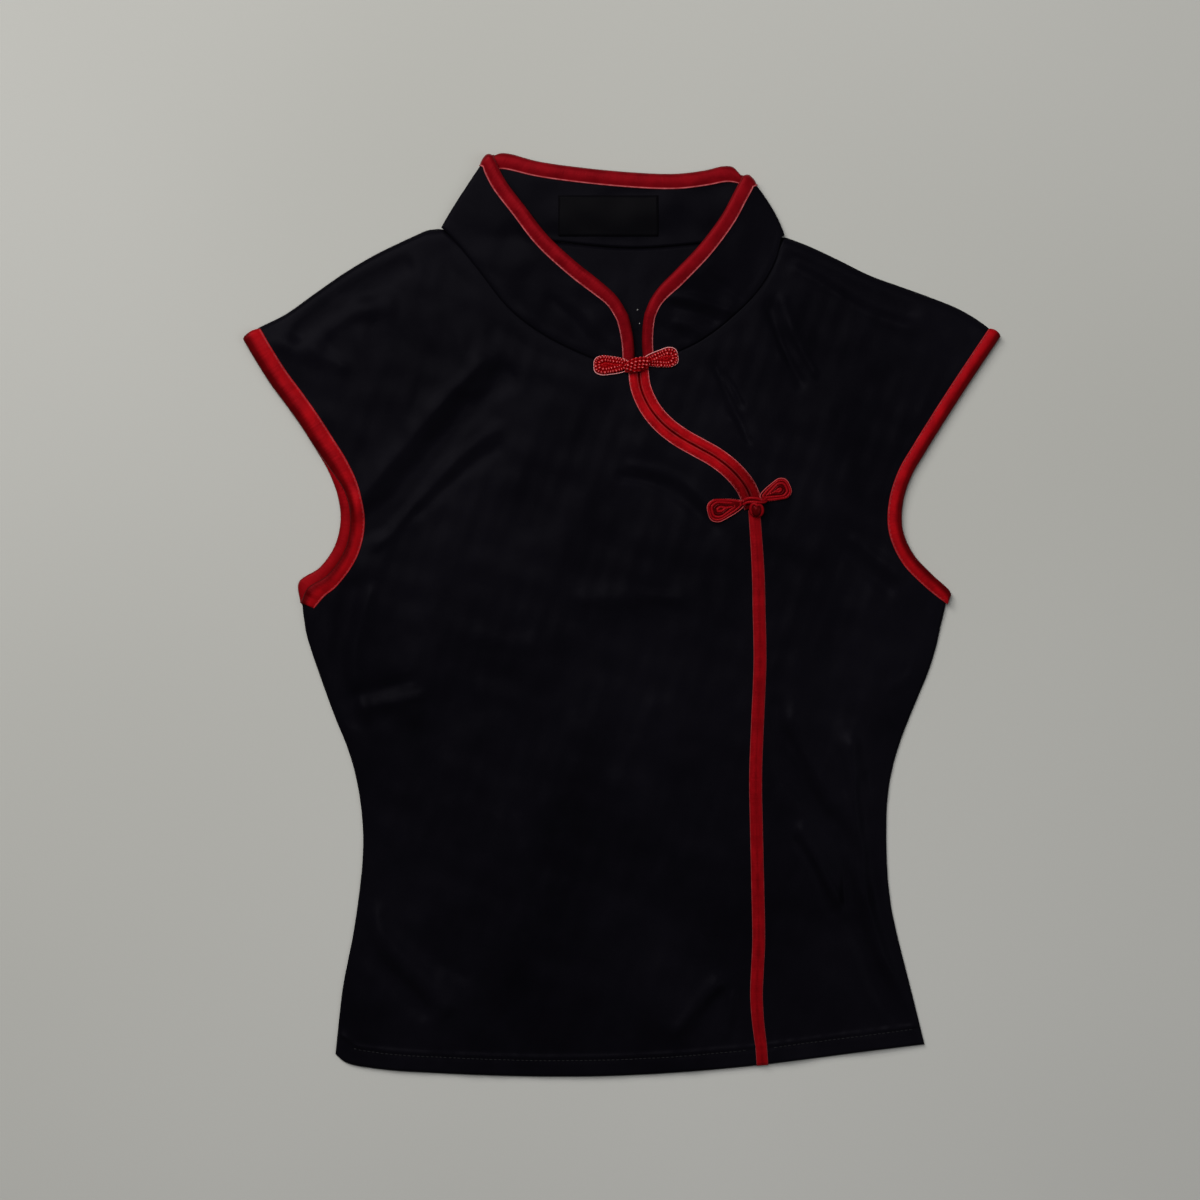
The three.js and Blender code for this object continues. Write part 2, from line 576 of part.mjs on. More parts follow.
// width of the tape's leg: on the front edges, on the free edge of the front halves, and round the back
const REACH = { edgeRight: 6.6, edgeLeft: 5.8, front: 8.4, back: 9 };
const reachAt = (i) => {
  const fromEdge = Math.min(i, lastStation - i);
  const edge = i < lastStation / 2 ? REACH.edgeRight : REACH.edgeLeft;
  return lerp(lerp(edge, REACH.front, smooth(0, 3, fromEdge)), REACH.back, smooth(8, 14, fromEdge));
};
const collarSections = edgePath.map(([j, i], k) => {
  const end = k === 0 || k === edgePath.length - 1;
  const p = end ? collarMid[0][i].clone().lerp(collarMid[1][i], 0.2) : collarMid[j][i].clone();
  const n = collarNormals[j][i];
  const before = edgePath[Math.max(0, k - 1)];
  const after = edgePath[Math.min(edgePath.length - 1, k + 1)];
  const t = collarMid[after[0]][after[1]].clone().sub(collarMid[before[0]][before[1]]).normalize();
  const ruling = collarMid[lastRow - 1][i].clone().sub(collarMid[lastRow][i]).normalize();
  const fromFold = Math.min(Math.abs(i - COLLAR_FRONT), Math.abs(lastStation - COLLAR_FRONT - i));
  const inBack = i >= COLLAR_FRONT && i <= lastStation - COLLAR_FRONT;
  const perp = t.clone().cross(n).normalize();
  if (perp.dot(j < lastRow ? new THREE.Vector3(i === 0 ? -1 : 1, 0, 0) : ruling) < 0) perp.negate();
  const w = inBack ? 1 : 1 - smooth(0, 5, fromFold);
  const inward = end ? collarMid[0][i === 0 ? 1 : i - 1].clone().sub(collarMid[0][i]).normalize()
    : perp.clone().lerp(ruling, w).normalize();
  const span = reachAt(i) / Math.max(0.6, inward.dot(perp));
  let tip = p.clone().addScaledVector(inward, span);
  let tipNormal = n;
  if (inBack) {
    tipNormal = collarNormals[lastRow - 1][i];
  } else {
    const flatIn = new THREE.Vector3(inward.x, inward.y, 0).normalize();
    tip = onFront(p.clone().addScaledVector(flatIn, span), i <= COLLAR_FRONT ? 0 : 1) || tip;
  }
  const at = (base, dir, s, d) => base.clone().addScaledVector(inward, s).addScaledVector(dir, d);
  const room = 0.15 * (1 - smooth(7, 11, Math.min(i, lastStation - i))); // for the facets of the curved front
  const near = COLLAR / 2 + GAP + room;
  const far = near + TAPE;
  return [
    at(tip, tipNormal, 0, -far), at(p, n, -WRAP, -far), at(p, n, -WRAP, far), at(tip, tipNormal, 0, far),
    at(tip, tipNormal, 0, near), at(p, n, -GAP, near), at(p, n, -GAP, -near), at(tip, tipNormal, 0, -near),
  ];
});

// An L section on the edge of a panel: web outside the edge, leg on the strip of cells beside it.
function edgeBinding(edge, strip, outward, low, top) {
  return edge.map((p, k) => {
    const [z0, z1] = [low(k), top(p, k)];
    const z2 = top(strip[k], k);
    const at = (q, by, z) => new THREE.Vector3(q.x + outward[k].x * by, q.y + outward[k].y * by, z);
    return [
      at(p, GAP, z0), at(p, WRAP, z0), at(p, WRAP, z1 + WRAP), at(strip[k], 0, z2 + WRAP),
      at(strip[k], 0, z2 + GAP), at(p, GAP, z1 + GAP),
    ];
  });
}

// Unit steps from an edge out to where its binding's outer face lies, mitred at corners.
const outwardOf = (edge, side) => offset(edge, side).map((p, k) => ({ x: p.x - edge[k].x, y: p.y - edge[k].y }));

function frontBinding(grid, rows, edgeCol, stripCol, side, lift = 0) {
  const edge = rows.map((j) => grid.outer[j][edgeCol]);
  const strip = rows.map((j) => grid.outer[j][stripCol]);
  const low = (k) => grid.inner[rows[k]][edgeCol].z;
  return edgeBinding(edge, strip, outwardOf(edge, side), low, (q) => q.z + lift);
}

function backBinding(edge, side) {
  const rows = edge.slice(ROWS_SIDE);
  const strip = offset(rows, -side * wide);
  return edgeBinding(rows, strip, outwardOf(rows, side), () => 0, () => CLOTH);
}

const range = (from, to) => Array.from({ length: to - from + 1 }, (unused, k) => from + k);
const armRows = range(ROWS_SIDE, ROWS);
const curveRows = range(ROWS_STRAIGHT, ROWS);
const colsR = COLS_SHOULDER + COLS_NECK;
const colsL = colsR;

const bandSections = range(0, ROWS_STRAIGHT - 1).map((j) => {
  const under = [
    frontR.outer[j][colsR - 1], frontR.outer[j][colsR], frontL.outer[j][0], frontL.outer[j][1],
  ];
  const low = under.map((p) => new THREE.Vector3(p.x, p.y, p.z + GAP));
  const high = under.map((p) => new THREE.Vector3(p.x, p.y, p.z + WRAP));
  return [...low, ...high.reverse()];
});
const BAND_CAPS = [[0, 1, 6, 7], [1, 2, 5, 6], [2, 3, 4, 5]];

// ---- assembly ----
const top = new THREE.Group();
const looks = {
  cloth: { color: 0x0b0b10, roughness: 0.55, metalness: 0 },
  tape: { color: 0x7d0f18, roughness: 0.42, metalness: 0 },
  cord: { color: 0x9a141c, roughness: 0.45, metalness: 0 },
};
function add(name, geometryOf, look) {
  const mesh = new THREE.Mesh(geometryOf, new THREE.MeshStandardMaterial(looks[look]));
  mesh.name = name;
  mesh.updateMatrixWorld(true);
  top.add(mesh);
  return mesh;
}

const built = [
  add('back_panel', backGeometry, 'cloth'),
  add('front_right', wall(frontR.outer, frontR.inner), 'cloth'),
  add('front_left', wall(frontL.outer, frontL.inner), 'cloth'),
  add('collar', wall(collarA, collarB), 'cloth'),
  add('collar_binding', sweep(collarSections, U_CAPS), 'tape'),
  add('armhole_binding_back_right', sweep(backBinding(backEdgeR, 1), L_CAPS), 'tape'),
  add('armhole_binding_back_left', sweep(backBinding(backEdgeL, -1), L_CAPS), 'tape'),
  add('armhole_binding_front_right', sweep(frontBinding(frontR, armRows, 0, 1, 1, ARM_LIFT), L_CAPS), 'tape'),
  add('armhole_binding_front_left', sweep(frontBinding(frontL, armRows, colsL, colsL - 1, -1), L_CAPS), 'tape'),
  add('opening_binding_right', sweep(frontBinding(frontR, curveRows, colsR, colsR - 1, -1), L_CAPS), 'tape'),
  add('opening_binding_left', sweep(frontBinding(frontL, curveRows, 0, 1, 1), L_CAPS), 'tape'),
  add('opening_band', sweep(bandSections, BAND_CAPS), 'tape'),
];

// ---- what lies on the cloth is set on the highest point below it ----
const ray = new THREE.Raycaster();
function heightAt(x, y, radius) {
  let z = 0;
  for (let k = 0; k < 7; k += 1) {
    const a = (k * Math.PI) / 3;
    const r = k === 6 ? 0 : radius;
    ray.set(new THREE.Vector3(x + r * Math.cos(a), y + r * Math.sin(a), 50), new THREE.Vector3(0, 0, -1));
    const hit = ray.intersectObjects(built, false)[0];
    z = Math.max(z, hit ? hit.point.z : 0);
  }
  return z;
}

// Frog pad: a flat coil of cord. `half` gives its half width along its axis from the tip (0) to 1.
const PAD_RINGS = table('scale height', [
  [1, 0.5], [0.93, 0.88], [0.83, 1], [0.7, 0.72], [0.55, 1], [0.4, 0.74], [0.24, 1.02],
]);
const PAD_SIDES = 20;
const full = (v, corner) => Math.sign(v) * Math.abs(v) ** corner; // below 1, fills an ellipse's corners
function pad({ x, y, length, width, angle, tip, corner }) {
  const dir = { x: Math.cos(angle), y: Math.sin(angle) };
  const at = (theta, scale) => {
    const c = full(Math.cos(theta), corner);
    const s = full(Math.sin(theta), corner);
    const taper = lerp(tip, 1, THREE.MathUtils.clamp((c + 1) / 1.5, 0, 1));
    const a = (length / 2) * c * scale;
    const b = (width / 2) * s * taper * scale;
    return { x: x + dir.x * a - dir.y * b, y: y + dir.y * a + dir.x * b };
  };
  const thetas = range(0, PAD_SIDES - 1).map((k) => (2 * Math.PI * k) / PAD_SIDES);
  const vertices = [];
  const triangles = [];
  const bottoms = thetas.map((t) => at(t, 0.92));
  const under = bottoms.map((p) => heightAt(p.x, p.y, 1.6) + GAP);
  const middle = Math.max(heightAt(x, y, width * 0.22), heightAt(x, y, width * 0.4)) + GAP;
  const base = (k) => under[k];
  bottoms.forEach((p, k) => vertices.push(new THREE.Vector3(p.x, p.y, base(k))));
  PAD_RINGS.forEach((ring) => thetas.forEach((t, k) => {
    const p = at(t, ring.scale);
    const ground = lerp(middle, base(k), smooth(0.1, 0.95, ring.scale));
    vertices.push(new THREE.Vector3(p.x, p.y, ground + CORD * ring.height));
  }));
  const low = vertices.push(new THREE.Vector3(x, y, middle)) - 1;
  const high = vertices.push(new THREE.Vector3(x, y, middle + CORD * 0.92)) - 1;
  for (let k = 0; k < PAD_SIDES; k += 1) {
    const n = (k + 1) % PAD_SIDES;
    triangles.push(low, n, k);
    for (let r = 0; r < PAD_RINGS.length; r += 1) {
      const [a, b] = [r * PAD_SIDES + k, r * PAD_SIDES + n];
      triangles.push(a, b, b + PAD_SIDES, a, b + PAD_SIDES, a + PAD_SIDES);
    }
    const last = PAD_RINGS.length * PAD_SIDES;
    triangles.push(last + k, last + n, high);
  }
  return geometry(vertices, triangles);
}

// Ball knot: a sphere pinched where its cords cross, flattened below.
function knot({ x, y, wide: w, deep: d, tall: h, turn }) {
  const ball = new THREE.SphereGeometry(1, 14, 10);
  ball.deleteAttribute('normal');
  ball.deleteAttribute('uv');
  const z0 = heightAt(x, y, w * 0.35) + GAP;
  const position = ball.attributes.position;
  const vertices = [];
  const rows = 10;
  const cols = 14;
  for (let k = 0; k < position.count; k += 1) {
    const p = new THREE.Vector3().fromBufferAttribute(position, k);
    const lump = 1 + 0.06 * Math.cos(3 * Math.atan2(p.y, p.x) + turn) * (1 - p.z * p.z);
    vertices.push(new THREE.Vector3(x + (p.x * lump * w) / 2, y + (p.y * lump * d) / 2, z0 + (h * (p.z + 1)) / 2));
  }
  const index = ball.index.array;
  const remap = vertices.map((p, k) => {
    const row = Math.floor(k / (cols + 1));
    const col = k % (cols + 1);
    if (row === 0) return 0;
    if (row === rows) return rows * (cols + 1);
    return row * (cols + 1) + (col === cols ? 0 : col);
  });
  const used = [...new Set(remap)];
  const slot = new Map(used.map((k, n) => [k, n]));
  const triangles = [];
  for (let k = 0; k < index.length; k += 3) {
    const t = [0, 1, 2].map((m) => slot.get(remap[index[k + m]]));
    if (new Set(t).size === 3) triangles.push(...t);
  }
  return geometry(used.map((k) => vertices[k]), triangles);
}

const FROGS = table('name x y length width angle tip corner', [
  ['frog_upper_loop_pad', -6.2, 158.8, 22.6, 13, 3.14, 0.66, 0.6],
  ['frog_upper_knot_pad', 25.4, 163.2, 22.6, 13.2, 0.17, 0.5, 0.6],
  ['frog_lower_loop_pad', 67, 67.6, 23.8, 15.6, 3.4, 0.4, 0.62],
  ['frog_lower_knot_pad', 98.4, 78.2, 20.8, 14.4, 0.42, 0.42, 0.62],
]);
const KNOTS = table('name x y wide deep tall turn', [
  ['frog_upper_knot', 9.6, 158.8, 8.8, 8.4, 5.4, 0.6],
  ['frog_lower_knot', 87.2, 66.4, 8.8, 11.6, 6.6, 0],
]);
const pads = FROGS.map((row) => [row.name, pad(row)]);
const knots = KNOTS.map((row) => [row.name, knot(row)]);
[...pads, ...knots].forEach(([name, shape]) => add(name, shape, 'cord'));

// ---- label ----
const labelGrid = (lift) => range(0, 3).map((j) => range(0, 5).map((i) => {
  const x = lerp(LABEL.x0, LABEL.x1, i / 5);
  const y = lerp(LABEL.y0, LABEL.y1, j / 3);
  return new THREE.Vector3(x, y, heightAt(x, y, 2) + GAP + lift);
}));
add('neck_label', wall(labelGrid(CLOTH), labelGrid(0)), 'cloth');

export default top;
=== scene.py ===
"""Cheongsam top laid flat. The code works in millimetres, the meshes are in metres."""

import json
import math

import bpy
import numpy as np
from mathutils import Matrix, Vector
from mathutils.bvhtree import BVHTree

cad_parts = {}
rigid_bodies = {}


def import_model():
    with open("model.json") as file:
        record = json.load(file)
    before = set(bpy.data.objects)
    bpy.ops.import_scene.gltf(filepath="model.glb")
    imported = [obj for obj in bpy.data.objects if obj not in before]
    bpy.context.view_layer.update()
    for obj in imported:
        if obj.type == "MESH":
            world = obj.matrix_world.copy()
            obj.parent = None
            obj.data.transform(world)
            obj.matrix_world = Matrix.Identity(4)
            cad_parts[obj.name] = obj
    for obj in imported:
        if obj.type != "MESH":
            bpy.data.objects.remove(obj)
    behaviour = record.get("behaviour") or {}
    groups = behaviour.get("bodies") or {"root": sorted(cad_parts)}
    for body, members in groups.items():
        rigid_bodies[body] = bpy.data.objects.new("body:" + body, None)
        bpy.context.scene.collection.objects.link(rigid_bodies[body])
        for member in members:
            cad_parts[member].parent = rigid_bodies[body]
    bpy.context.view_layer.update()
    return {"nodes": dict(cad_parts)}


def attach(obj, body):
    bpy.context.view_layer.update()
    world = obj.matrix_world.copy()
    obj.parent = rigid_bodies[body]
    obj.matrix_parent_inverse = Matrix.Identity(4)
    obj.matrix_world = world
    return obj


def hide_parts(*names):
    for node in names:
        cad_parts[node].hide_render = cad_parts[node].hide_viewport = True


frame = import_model()

# ---- sizes, as in the solids ----
CLOTH, COLLAR, TAPE, GAP = 1.0, 1.5, 1.0, 0.3
BIND, BIND_OPENING, BAND = 9.2, 6.4, 8.3
WRAP = TAPE + GAP
GROOVE = WRAP + GAP / 2
SEAM = 0.45
HEM, LOFT, LOFT_RUN = 11.0, 2.0, 15.0
HEM_STITCH = 10.8  # how far the hem's stitches are from its edge
FRONT_Z = CLOTH + GAP
LOWEST_TOP = 2.25  # the lowest that the upper face of the front lies, but at its rolled edges
SOFT_FLOOR = 0.35  # how softly the troughs level out above it
CREASE_DEPTH = 1.8  # the heights in the table of creases are multiplied by this
SHELL, LOWEST_INSIDE = 0.7, 0.85  # wall of a visible front, and the lowest that its lower face lies
BACK_SHELL = 0.62
PEEK_TOP, PEEK_UNDERARM = 4.2, 7.1
REACH_EDGE_R, REACH_EDGE_L, REACH_FRONT, REACH_BACK = 6.6, 5.8, 8.4, 9.0
ROWS_SIDE, ROWS_ARM, ROWS_STRAIGHT = 20, 12, 23
ROWS = ROWS_SIDE + ROWS_ARM
COLLAR_FRONT, COLLAR_ARC, COLLAR_BACK = 11, 6, 12  # stations of a front half, of a fold and of the back
LAST_STATION = 2 * COLLAR_FRONT + 2 * COLLAR_ARC + COLLAR_BACK
FINE = 6  # fine steps to one step of the solids
HEM_ROWS = 16  # rows a millimetre apart above the hem

A = np.array
SIDE_R = A([
    [-183, -282], [-177.5, -234], [-172, -208.5], [-167.5, -176.5], [-165, -151], [-167, -119],
    [-173.5, -90], [-182.5, -68], [-192, -42], [-200.5, -16.5], [-205.3, 7.3]])
ARM_R = A([
    [-206.6, 20.3], [-197, 27], [-189.5, 33.5], [-182, 47.5], [-179.8, 60], [-181, 73], [-185, 86],
    [-191.5, 98.5], [-207.5, 124], [-226.5, 150], [-241.9, 175.4]])
SHOULDER_R = A([
    [-241.9, 175.4], [-233.6, 182.4], [-215, 192], [-196, 205.5], [-176.5, 219], [-157.5, 230.2],
    [-141, 238.3], [-130.5, 243.1], [-124, 245.8], [-115.2, 247]])
SIDE_L = A([
    [194.6, -275.8], [187.5, -247], [181, -221.5], [174.7, -196], [171.5, -176.5], [170.2, -151],
    [170.2, -125.5], [172.2, -106], [179.2, -80.5], [189.5, -55], [199.7, -29.5], [204.2, -10],
    [209.4, 8.2]])
ARM_L = A([
    [211.4, 13], [203, 21.8], [190, 34.6], [182.4, 47.4], [179.8, 60], [181, 73], [185, 86],
    [191.9, 98.5], [207.6, 124], [224.5, 150], [242.6, 177]])
SHOULDER_L = A([
    [105, 241.7], [121, 235.5], [140, 226.6], [159.4, 217], [178.6, 210], [198, 203], [217, 195.2],
    [232, 186], [242.6, 177]])
HEM_LINE = A([
    [-183, -282], [-176.5, -287.4], [-154, -291.8], [-116, -294.4], [-64.5, -296.3], [-13.5, -296.3],
    [38, -293.8], [90.6, -289], [114.6, -286], [153, -281], [194.6, -275.8]])
STRAIGHT = A([
    [90.6, -289], [89.1, -270], [87, -255], [86.7, -240], [88.1, -210], [87.6, -180], [86.6, -135],
    [86.1, -105], [87.1, -75], [88.9, -30], [88.2, 7], [87.7, 30], [86.2, 47.4], [85.1, 68.5]])
S_CURVE = A([
    [85.1, 68.5], [82.4, 76.8], [77.4, 84.5], [70.3, 92.6], [59.9, 100.6], [46, 108.4], [35, 115],
    [25, 123.5], [17.3, 133.8], [12.2, 146.6], [10.9, 158.4]])
COLLAR_NECK_R = A([
    [7.4, 159], [-13.4, 162.2], [-31.4, 169.2], [-51.8, 180.1], [-72.3, 196.1], [-91.2, 220.2],
    [-104.8, 237], [-113.4, 246.1]])
COLLAR_NECK_L = A([
    [16, 159.2], [32.6, 166.2], [50.4, 174.6], [69.4, 188.6], [88.3, 207.6], [98.6, 225.2],
    [103, 241.4]])
COLLAR_NECK_B = A([
    [-113.4, 247], [-77.4, 242.3], [-40.3, 238.6], [7, 234.8], [50.6, 237.8], [82.6, 241.6],
    [103, 242.2]])
COLLAR_TOP_R = A([
    [3.4, 190.5, 8.6], [-3.2, 201.3, 9.2], [-12.7, 210.3, 9.4], [-30.2, 224.4, 9], [-48, 241.2, 8.4],
    [-61.9, 259.2, 7.8], [-74.8, 276.6, 7.3], [-82.3, 291.8, 7.1]])
COLLAR_TOP_L = A([
    [16, 191.2, 8.2], [19.6, 199.8, 8.6], [24.9, 207.6, 9], [36.4, 219.3, 9.6], [51.4, 235.3, 9.2],
    [65.4, 254.4, 8.2], [72.6, 268, 7.5], [78.2, 278.6, 7.1]])
COLLAR_TOP_B = A([
    [-82.3, 291.8], [-79, 293.1], [-72, 293.1], [-51.8, 288.6], [-23, 284.6], [5.8, 281.9],
    [28, 280.8], [40, 281.2], [53.8, 283], [66, 285.1], [73.5, 283.9], [78.2, 278.6]])
FOLD_R, FOLD_L = A([-0.851, 0.524]), A([0.861, 0.508])
BOW_R, BOW_L = 0.9, 2.6
NECK_BACK_Z, NECK_FRONT_Z, TOP_BACK_Z, TOP_FRONT_Z = COLLAR / 2, 3.3, COLLAR / 2 + WRAP, 7.1
# the large soft folds of the solids: x0 y0 x1 y1 width height
FOLDS = A([
    [-162, 56, -75, 152, 9, -1.1], [-171, 68, -86, 163, 9, 0.9], [-152, 55, -99, 138, 8, -0.6],
    [-205, 180, -163, 210, 8, -0.9], [-163, 210, -140, 222, 8, -0.9], [-219, 172, -179, 159, 9, 0.7],
    [-172, 17, -182, -38, 9, -0.9], [-182, -38, -173, -68, 9, -0.9], [-176, -54, -129, -42, 7, -0.5],
    [-169, -210, -125, -253, 8, -1.1], [-157, -205, -114, -252, 8, 1.1], [36, -264, 60, -238, 7, 0.9],
    [50, -268, 66, -242, 6, -1.1], [97, -47, 117, -104, 8, -0.9], [117, -104, 151, -190, 8, -0.9],
    [112, -66, 140, -128, 8, 0.9], [147, -74, 156, -182, 8, 1.1], [156, -182, 186, -245, 8, 1.0],
    [-3, -110, 21, -62, 14, 0.6], [-23, 9, 37, 9, 12, 0.5], [8, 88, 37, 76, 8, -0.5],
    [37, 76, 60, 56, 8, -0.5], [95, 196, 115, 149, 8, -0.9], [60, 159, 80, 111, 7, -0.6],
    [107, 229, 154, 203, 9, -1.1], [154, 203, 181, 193, 9, -1.0], [143, 40, 171, 17, 8, -0.8]])
# finer creases on top of them: width, height, then the points of each line
CREASES = [
    (5, -1.5, [(-166, 52), (-138, 84), (-108, 117), (-76, 151)]),
    (5, 1.0, [(-174, 64), (-148, 96), (-119, 131), (-90, 160)]),
    (4, 0.7, [(-156, 44), (-127, 76), (-96, 106), (-80, 118)]),
    (4, -0.8, [(-152, 55), (-122, 92), (-99, 138)]),
    (4, -0.6, [(-130, 65), (-100, 92), (-79, 106)]),
    (5, -1.1, [(-205, 182), (-187, 202), (-163, 211), (-140, 223)]),
    (6, 0.8, [(-196, 176), (-176, 190), (-150, 199)]),
    (5, 0.6, [(-219, 174), (-196, 168), (-178, 159)]),
    (4, -1.1, [(-171, 17), (-179, -10), (-182, -38), (-173, -68)]),
    (4, 0.8, [(-160, 14), (-168, -12), (-171, -36), (-164, -64)]),
    (3.5, -0.7, [(-181, -54), (-158, -49), (-134, -42)]),
    (3.5, 0.5, [(-178, -63), (-155, -58), (-128, -52)]),
    (5.5, -1.2, [(-168, -200), (-155, -226), (-126, -254)]),
    (6, 1.2, [(-158, -196), (-140, -222), (-112, -250)]),
    (5, -0.5, [(-150, -196), (-128, -214), (-100, -232)]),
    (3.5, 0.8, [(36, -266), (48, -250), (61, -237)]),
    (3, -1.0, [(49, -271), (57, -256), (65, -243)]),
    (3, 0.8, [(72, -244), (70, -255), (67, -268)]),
    (5, -1.2, [(97, -60), (104, -96), (117, -113), (130, -131), (143, -142), (146, -158), (144, -184)]),
    (6, 1.3, [(107, -69), (121, -96), (134, -120)]),
    (6, 1.3, [(116, -139), (128, -162), (139, -184)]),
    (4.5, -0.9, [(112, -146), (120, -158), (135, -189)]),
    (5, 1.3, [(147, -84), (149, -130), (152, -163), (157, -185), (164, -211), (185, -246)]),
    (5.5, -1.2, [(150, -200), (156, -214), (171, -248), (186, -268)]),
    (5, -0.8, [(161, -105), (169, -128)]),
    (5, -0.8, [(162, -158), (168, -182)]),
    (6, 0.4, [(-3, -110), (8, -84), (20, -62)]),
    (5, 0.35, [(-24, 9), (8, 12), (37, 9)]),
    (3.5, -0.8, [(0, 88), (20, 84), (37, 76), (60, 56)]),
    (3, 0.5, [(6, 95), (24, 91), (42, 82), (56, 70)]),
    (3, -0.9, [(95, 196), (104, 170), (115, 149)]),
    (3, 0.7, [(103, 200), (112, 176), (124, 154)]),
    (2.6, -0.8, [(60, 159), (70, 136), (80, 111)]),
    (2.4, -0.6, [(65, 154), (73, 143), (77, 134)]),
    (2.4, 0.6, [(72, 124), (76, 117), (79, 110)]),
    (5, -1.3, [(107, 230), (137, 215), (154, 203), (181, 193)]),
    (5, 0.9, [(112, 222), (140, 205), (158, 194), (184, 184)]),
    (4, -0.9, [(143, 40), (158, 27), (171, 17)]),
    (4, 0.6, [(150, 47), (164, 35), (176, 26)]),
    (4, 0.5, [(176, -46), (186, -40), (196, -33)]),
    (6, 0.45, [(-60, -150), (-50, -185), (-46, -215)]),
    (7, -0.4, [(-90, -90), (-70, -120), (-60, -150)]),
    (6, 0.35, [(-120, 0), (-90, -14), (-60, -20)]),
]


def smooth(a, b, t):
    """0 before a, 1 after b, with a soft step between them."""
    x = np.clip((np.asarray(t, float) - a) / (b - a), 0, 1)
    return x * x * (3 - 2 * x)


def cr_points(points, steps):
    """Centripetal Catmull-Rom through points, `steps` even parameter steps to a segment."""
    p = np.asarray(points, float)
    p = np.vstack([2 * p[0] - p[1], p, 2 * p[-1] - p[-2]])
    out = []
    for k in range(len(p) - 3):
        p0, p1, p2, p3 = p[k:k + 4]
        pairs = (p0, p1), (p1, p2), (p2, p3)
        d0, d1, d2 = (max(np.linalg.norm(b - a), 1e-6) ** 0.5 for a, b in pairs)
        t1 = ((p1 - p0) / d0 - (p2 - p0) / (d0 + d1) + (p2 - p1) / d1) * d1
        t2 = ((p2 - p1) / d1 - (p3 - p1) / (d1 + d2) + (p3 - p2) / d2) * d1
        t = (np.arange(steps) / steps)[:, None]
        out.append(p1 + t1 * t + (-3 * p1 + 3 * p2 - 2 * t1 - t2) * t * t
                   + (2 * p1 - 2 * p2 + t1 + t2) * t ** 3)
    out.append(p[-2][None])
    return np.vstack(out)


def lengths(line):
    return np.concatenate([[0], np.cumsum(np.linalg.norm(np.diff(line, axis=0), axis=1))])


def at_length(line, s):
    run = lengths(line)
    return np.stack([np.interp(s, run, line[:, c]) for c in range(line.shape[1])], -1)


def even(line, steps):
    return at_length(line, np.linspace(0, lengths(line)[-1], steps + 1))


def along(points, steps):
    return even(cr_points(points, 60), steps)


def offset(line, by):
    """Moves a polyline `by` to the left of its direction, mitred; `by` may differ at each vertex."""
    d = np.diff(line[:, :2], axis=0)
    n = np.stack([-d[:, 1], d[:, 0]], 1) / np.linalg.norm(d, axis=1)[:, None]
    total = np.vstack([n[:1], n]) + np.vstack([n, n[-1:]])
    by = np.broadcast_to(by, len(line))
    return line[:, :2] + total * (2 * by / (total ** 2).sum(1))[:, None]


def distance(line, x, y):
    """How far each point is from a polyline."""
    best = np.full(np.shape(x), np.inf)
    for a, b in zip(line[:-1], line[1:]):
        d = b - a
        t = np.clip(((x - a[0]) * d[0] + (y - a[1]) * d[1]) / max(d @ d, 1e-9), 0, 1)
        best = np.minimum(best, np.hypot(a[0] + d[0] * t - x, a[1] + d[1] * t - y))
    return best


def waves(x, y, seed, count, short, long):
    """A smooth uneven field of about unit size."""
    rng = np.random.default_rng(seed)
    total = 0
    for _ in range(count):
        turn, phase = rng.uniform(0, 2 * math.pi, 2)
        k = 2 * math.pi / rng.uniform(short, long)
        total = total + np.sin(k * (x * math.cos(turn) + y * math.sin(turn)) + phase)
    return total / math.sqrt(count / 2)


def with_hem_rows(line, steps):
    """A side from the hem up, with vertices at the edge and at the stitch line of the turned hem."""
    total, start = lengths(line)[-1], HEM + 1.5
    s = [0, HEM, start] + [start + (total - start) * k / steps for k in range(1, steps + 1)]
    return at_length(line, A(s))


# ---- the coarse lines that the solids are built on ----
side_r, side_l = along(SIDE_R, ROWS_SIDE - 2), along(SIDE_L, ROWS_SIDE - 2)
arm_r = np.vstack([SIDE_R[-1:], along(ARM_R, ROWS_ARM - 1)])
arm_l = np.vstack([SIDE_L[-1:], along(ARM_L, ROWS_ARM - 1)])
arm_r[0, 0] -= 0.4
hem_line = along(HEM_LINE, 200)
outline = np.vstack([side_r, arm_r, along(SHOULDER_R, 30)])
outline_l = np.vstack([side_l, arm_l])
shoulder_l = along(SHOULDER_L, 30)
seam_r, seam_l = along(COLLAR_NECK_R, COLLAR_FRONT), along(COLLAR_NECK_L, COLLAR_FRONT)
seam_b = along(COLLAR_NECK_B, COLLAR_BACK)
edge_r, edge_l, edge_b = offset(seam_r, SEAM), offset(seam_l, -SEAM), offset(seam_b, -SEAM)
edge_r[-1] = SHOULDER_R[-1] - [0, SEAM]
edge_l[-1] = SHOULDER_L[0] - [0, SEAM]
neck_points = [edge_r[-1], edge_l[-1]]
neck_line = np.vstack([edge_r, edge_l[::-1]])
index = np.arange(ROWS + 1)
step = index - ROWS_SIDE
peek = np.where(step <= 0, 0, np.where(step == 1, PEEK_UNDERARM / 2,
                PEEK_UNDERARM + (PEEK_TOP - PEEK_UNDERARM) * smooth(2.5, 7.5, step)))
wrap = np.where(index > ROWS_SIDE, WRAP, 0)
raw_r = np.vstack([with_hem_rows(side_r, ROWS_SIDE - 2), arm_r[1:]])
raw_l = np.vstack([with_hem_rows(side_l, ROWS_SIDE - 2), arm_l[1:]])
raw_r[ROWS_SIDE, 0] += 1
raw_l[ROWS_SIDE, 0] -= 1
back_r, back_l = offset(raw_r, -wrap), offset(raw_l, wrap)
front_r, front_l = offset(raw_r, -(wrap + peek)), back_l
straight_fine = along(STRAIGHT, 120)
straight = with_hem_rows(straight_fine, ROWS_STRAIGHT - 2)
straight[ROWS_STRAIGHT - 1] = at_length(straight_fine, lengths(straight_fine)[-1] - 2)
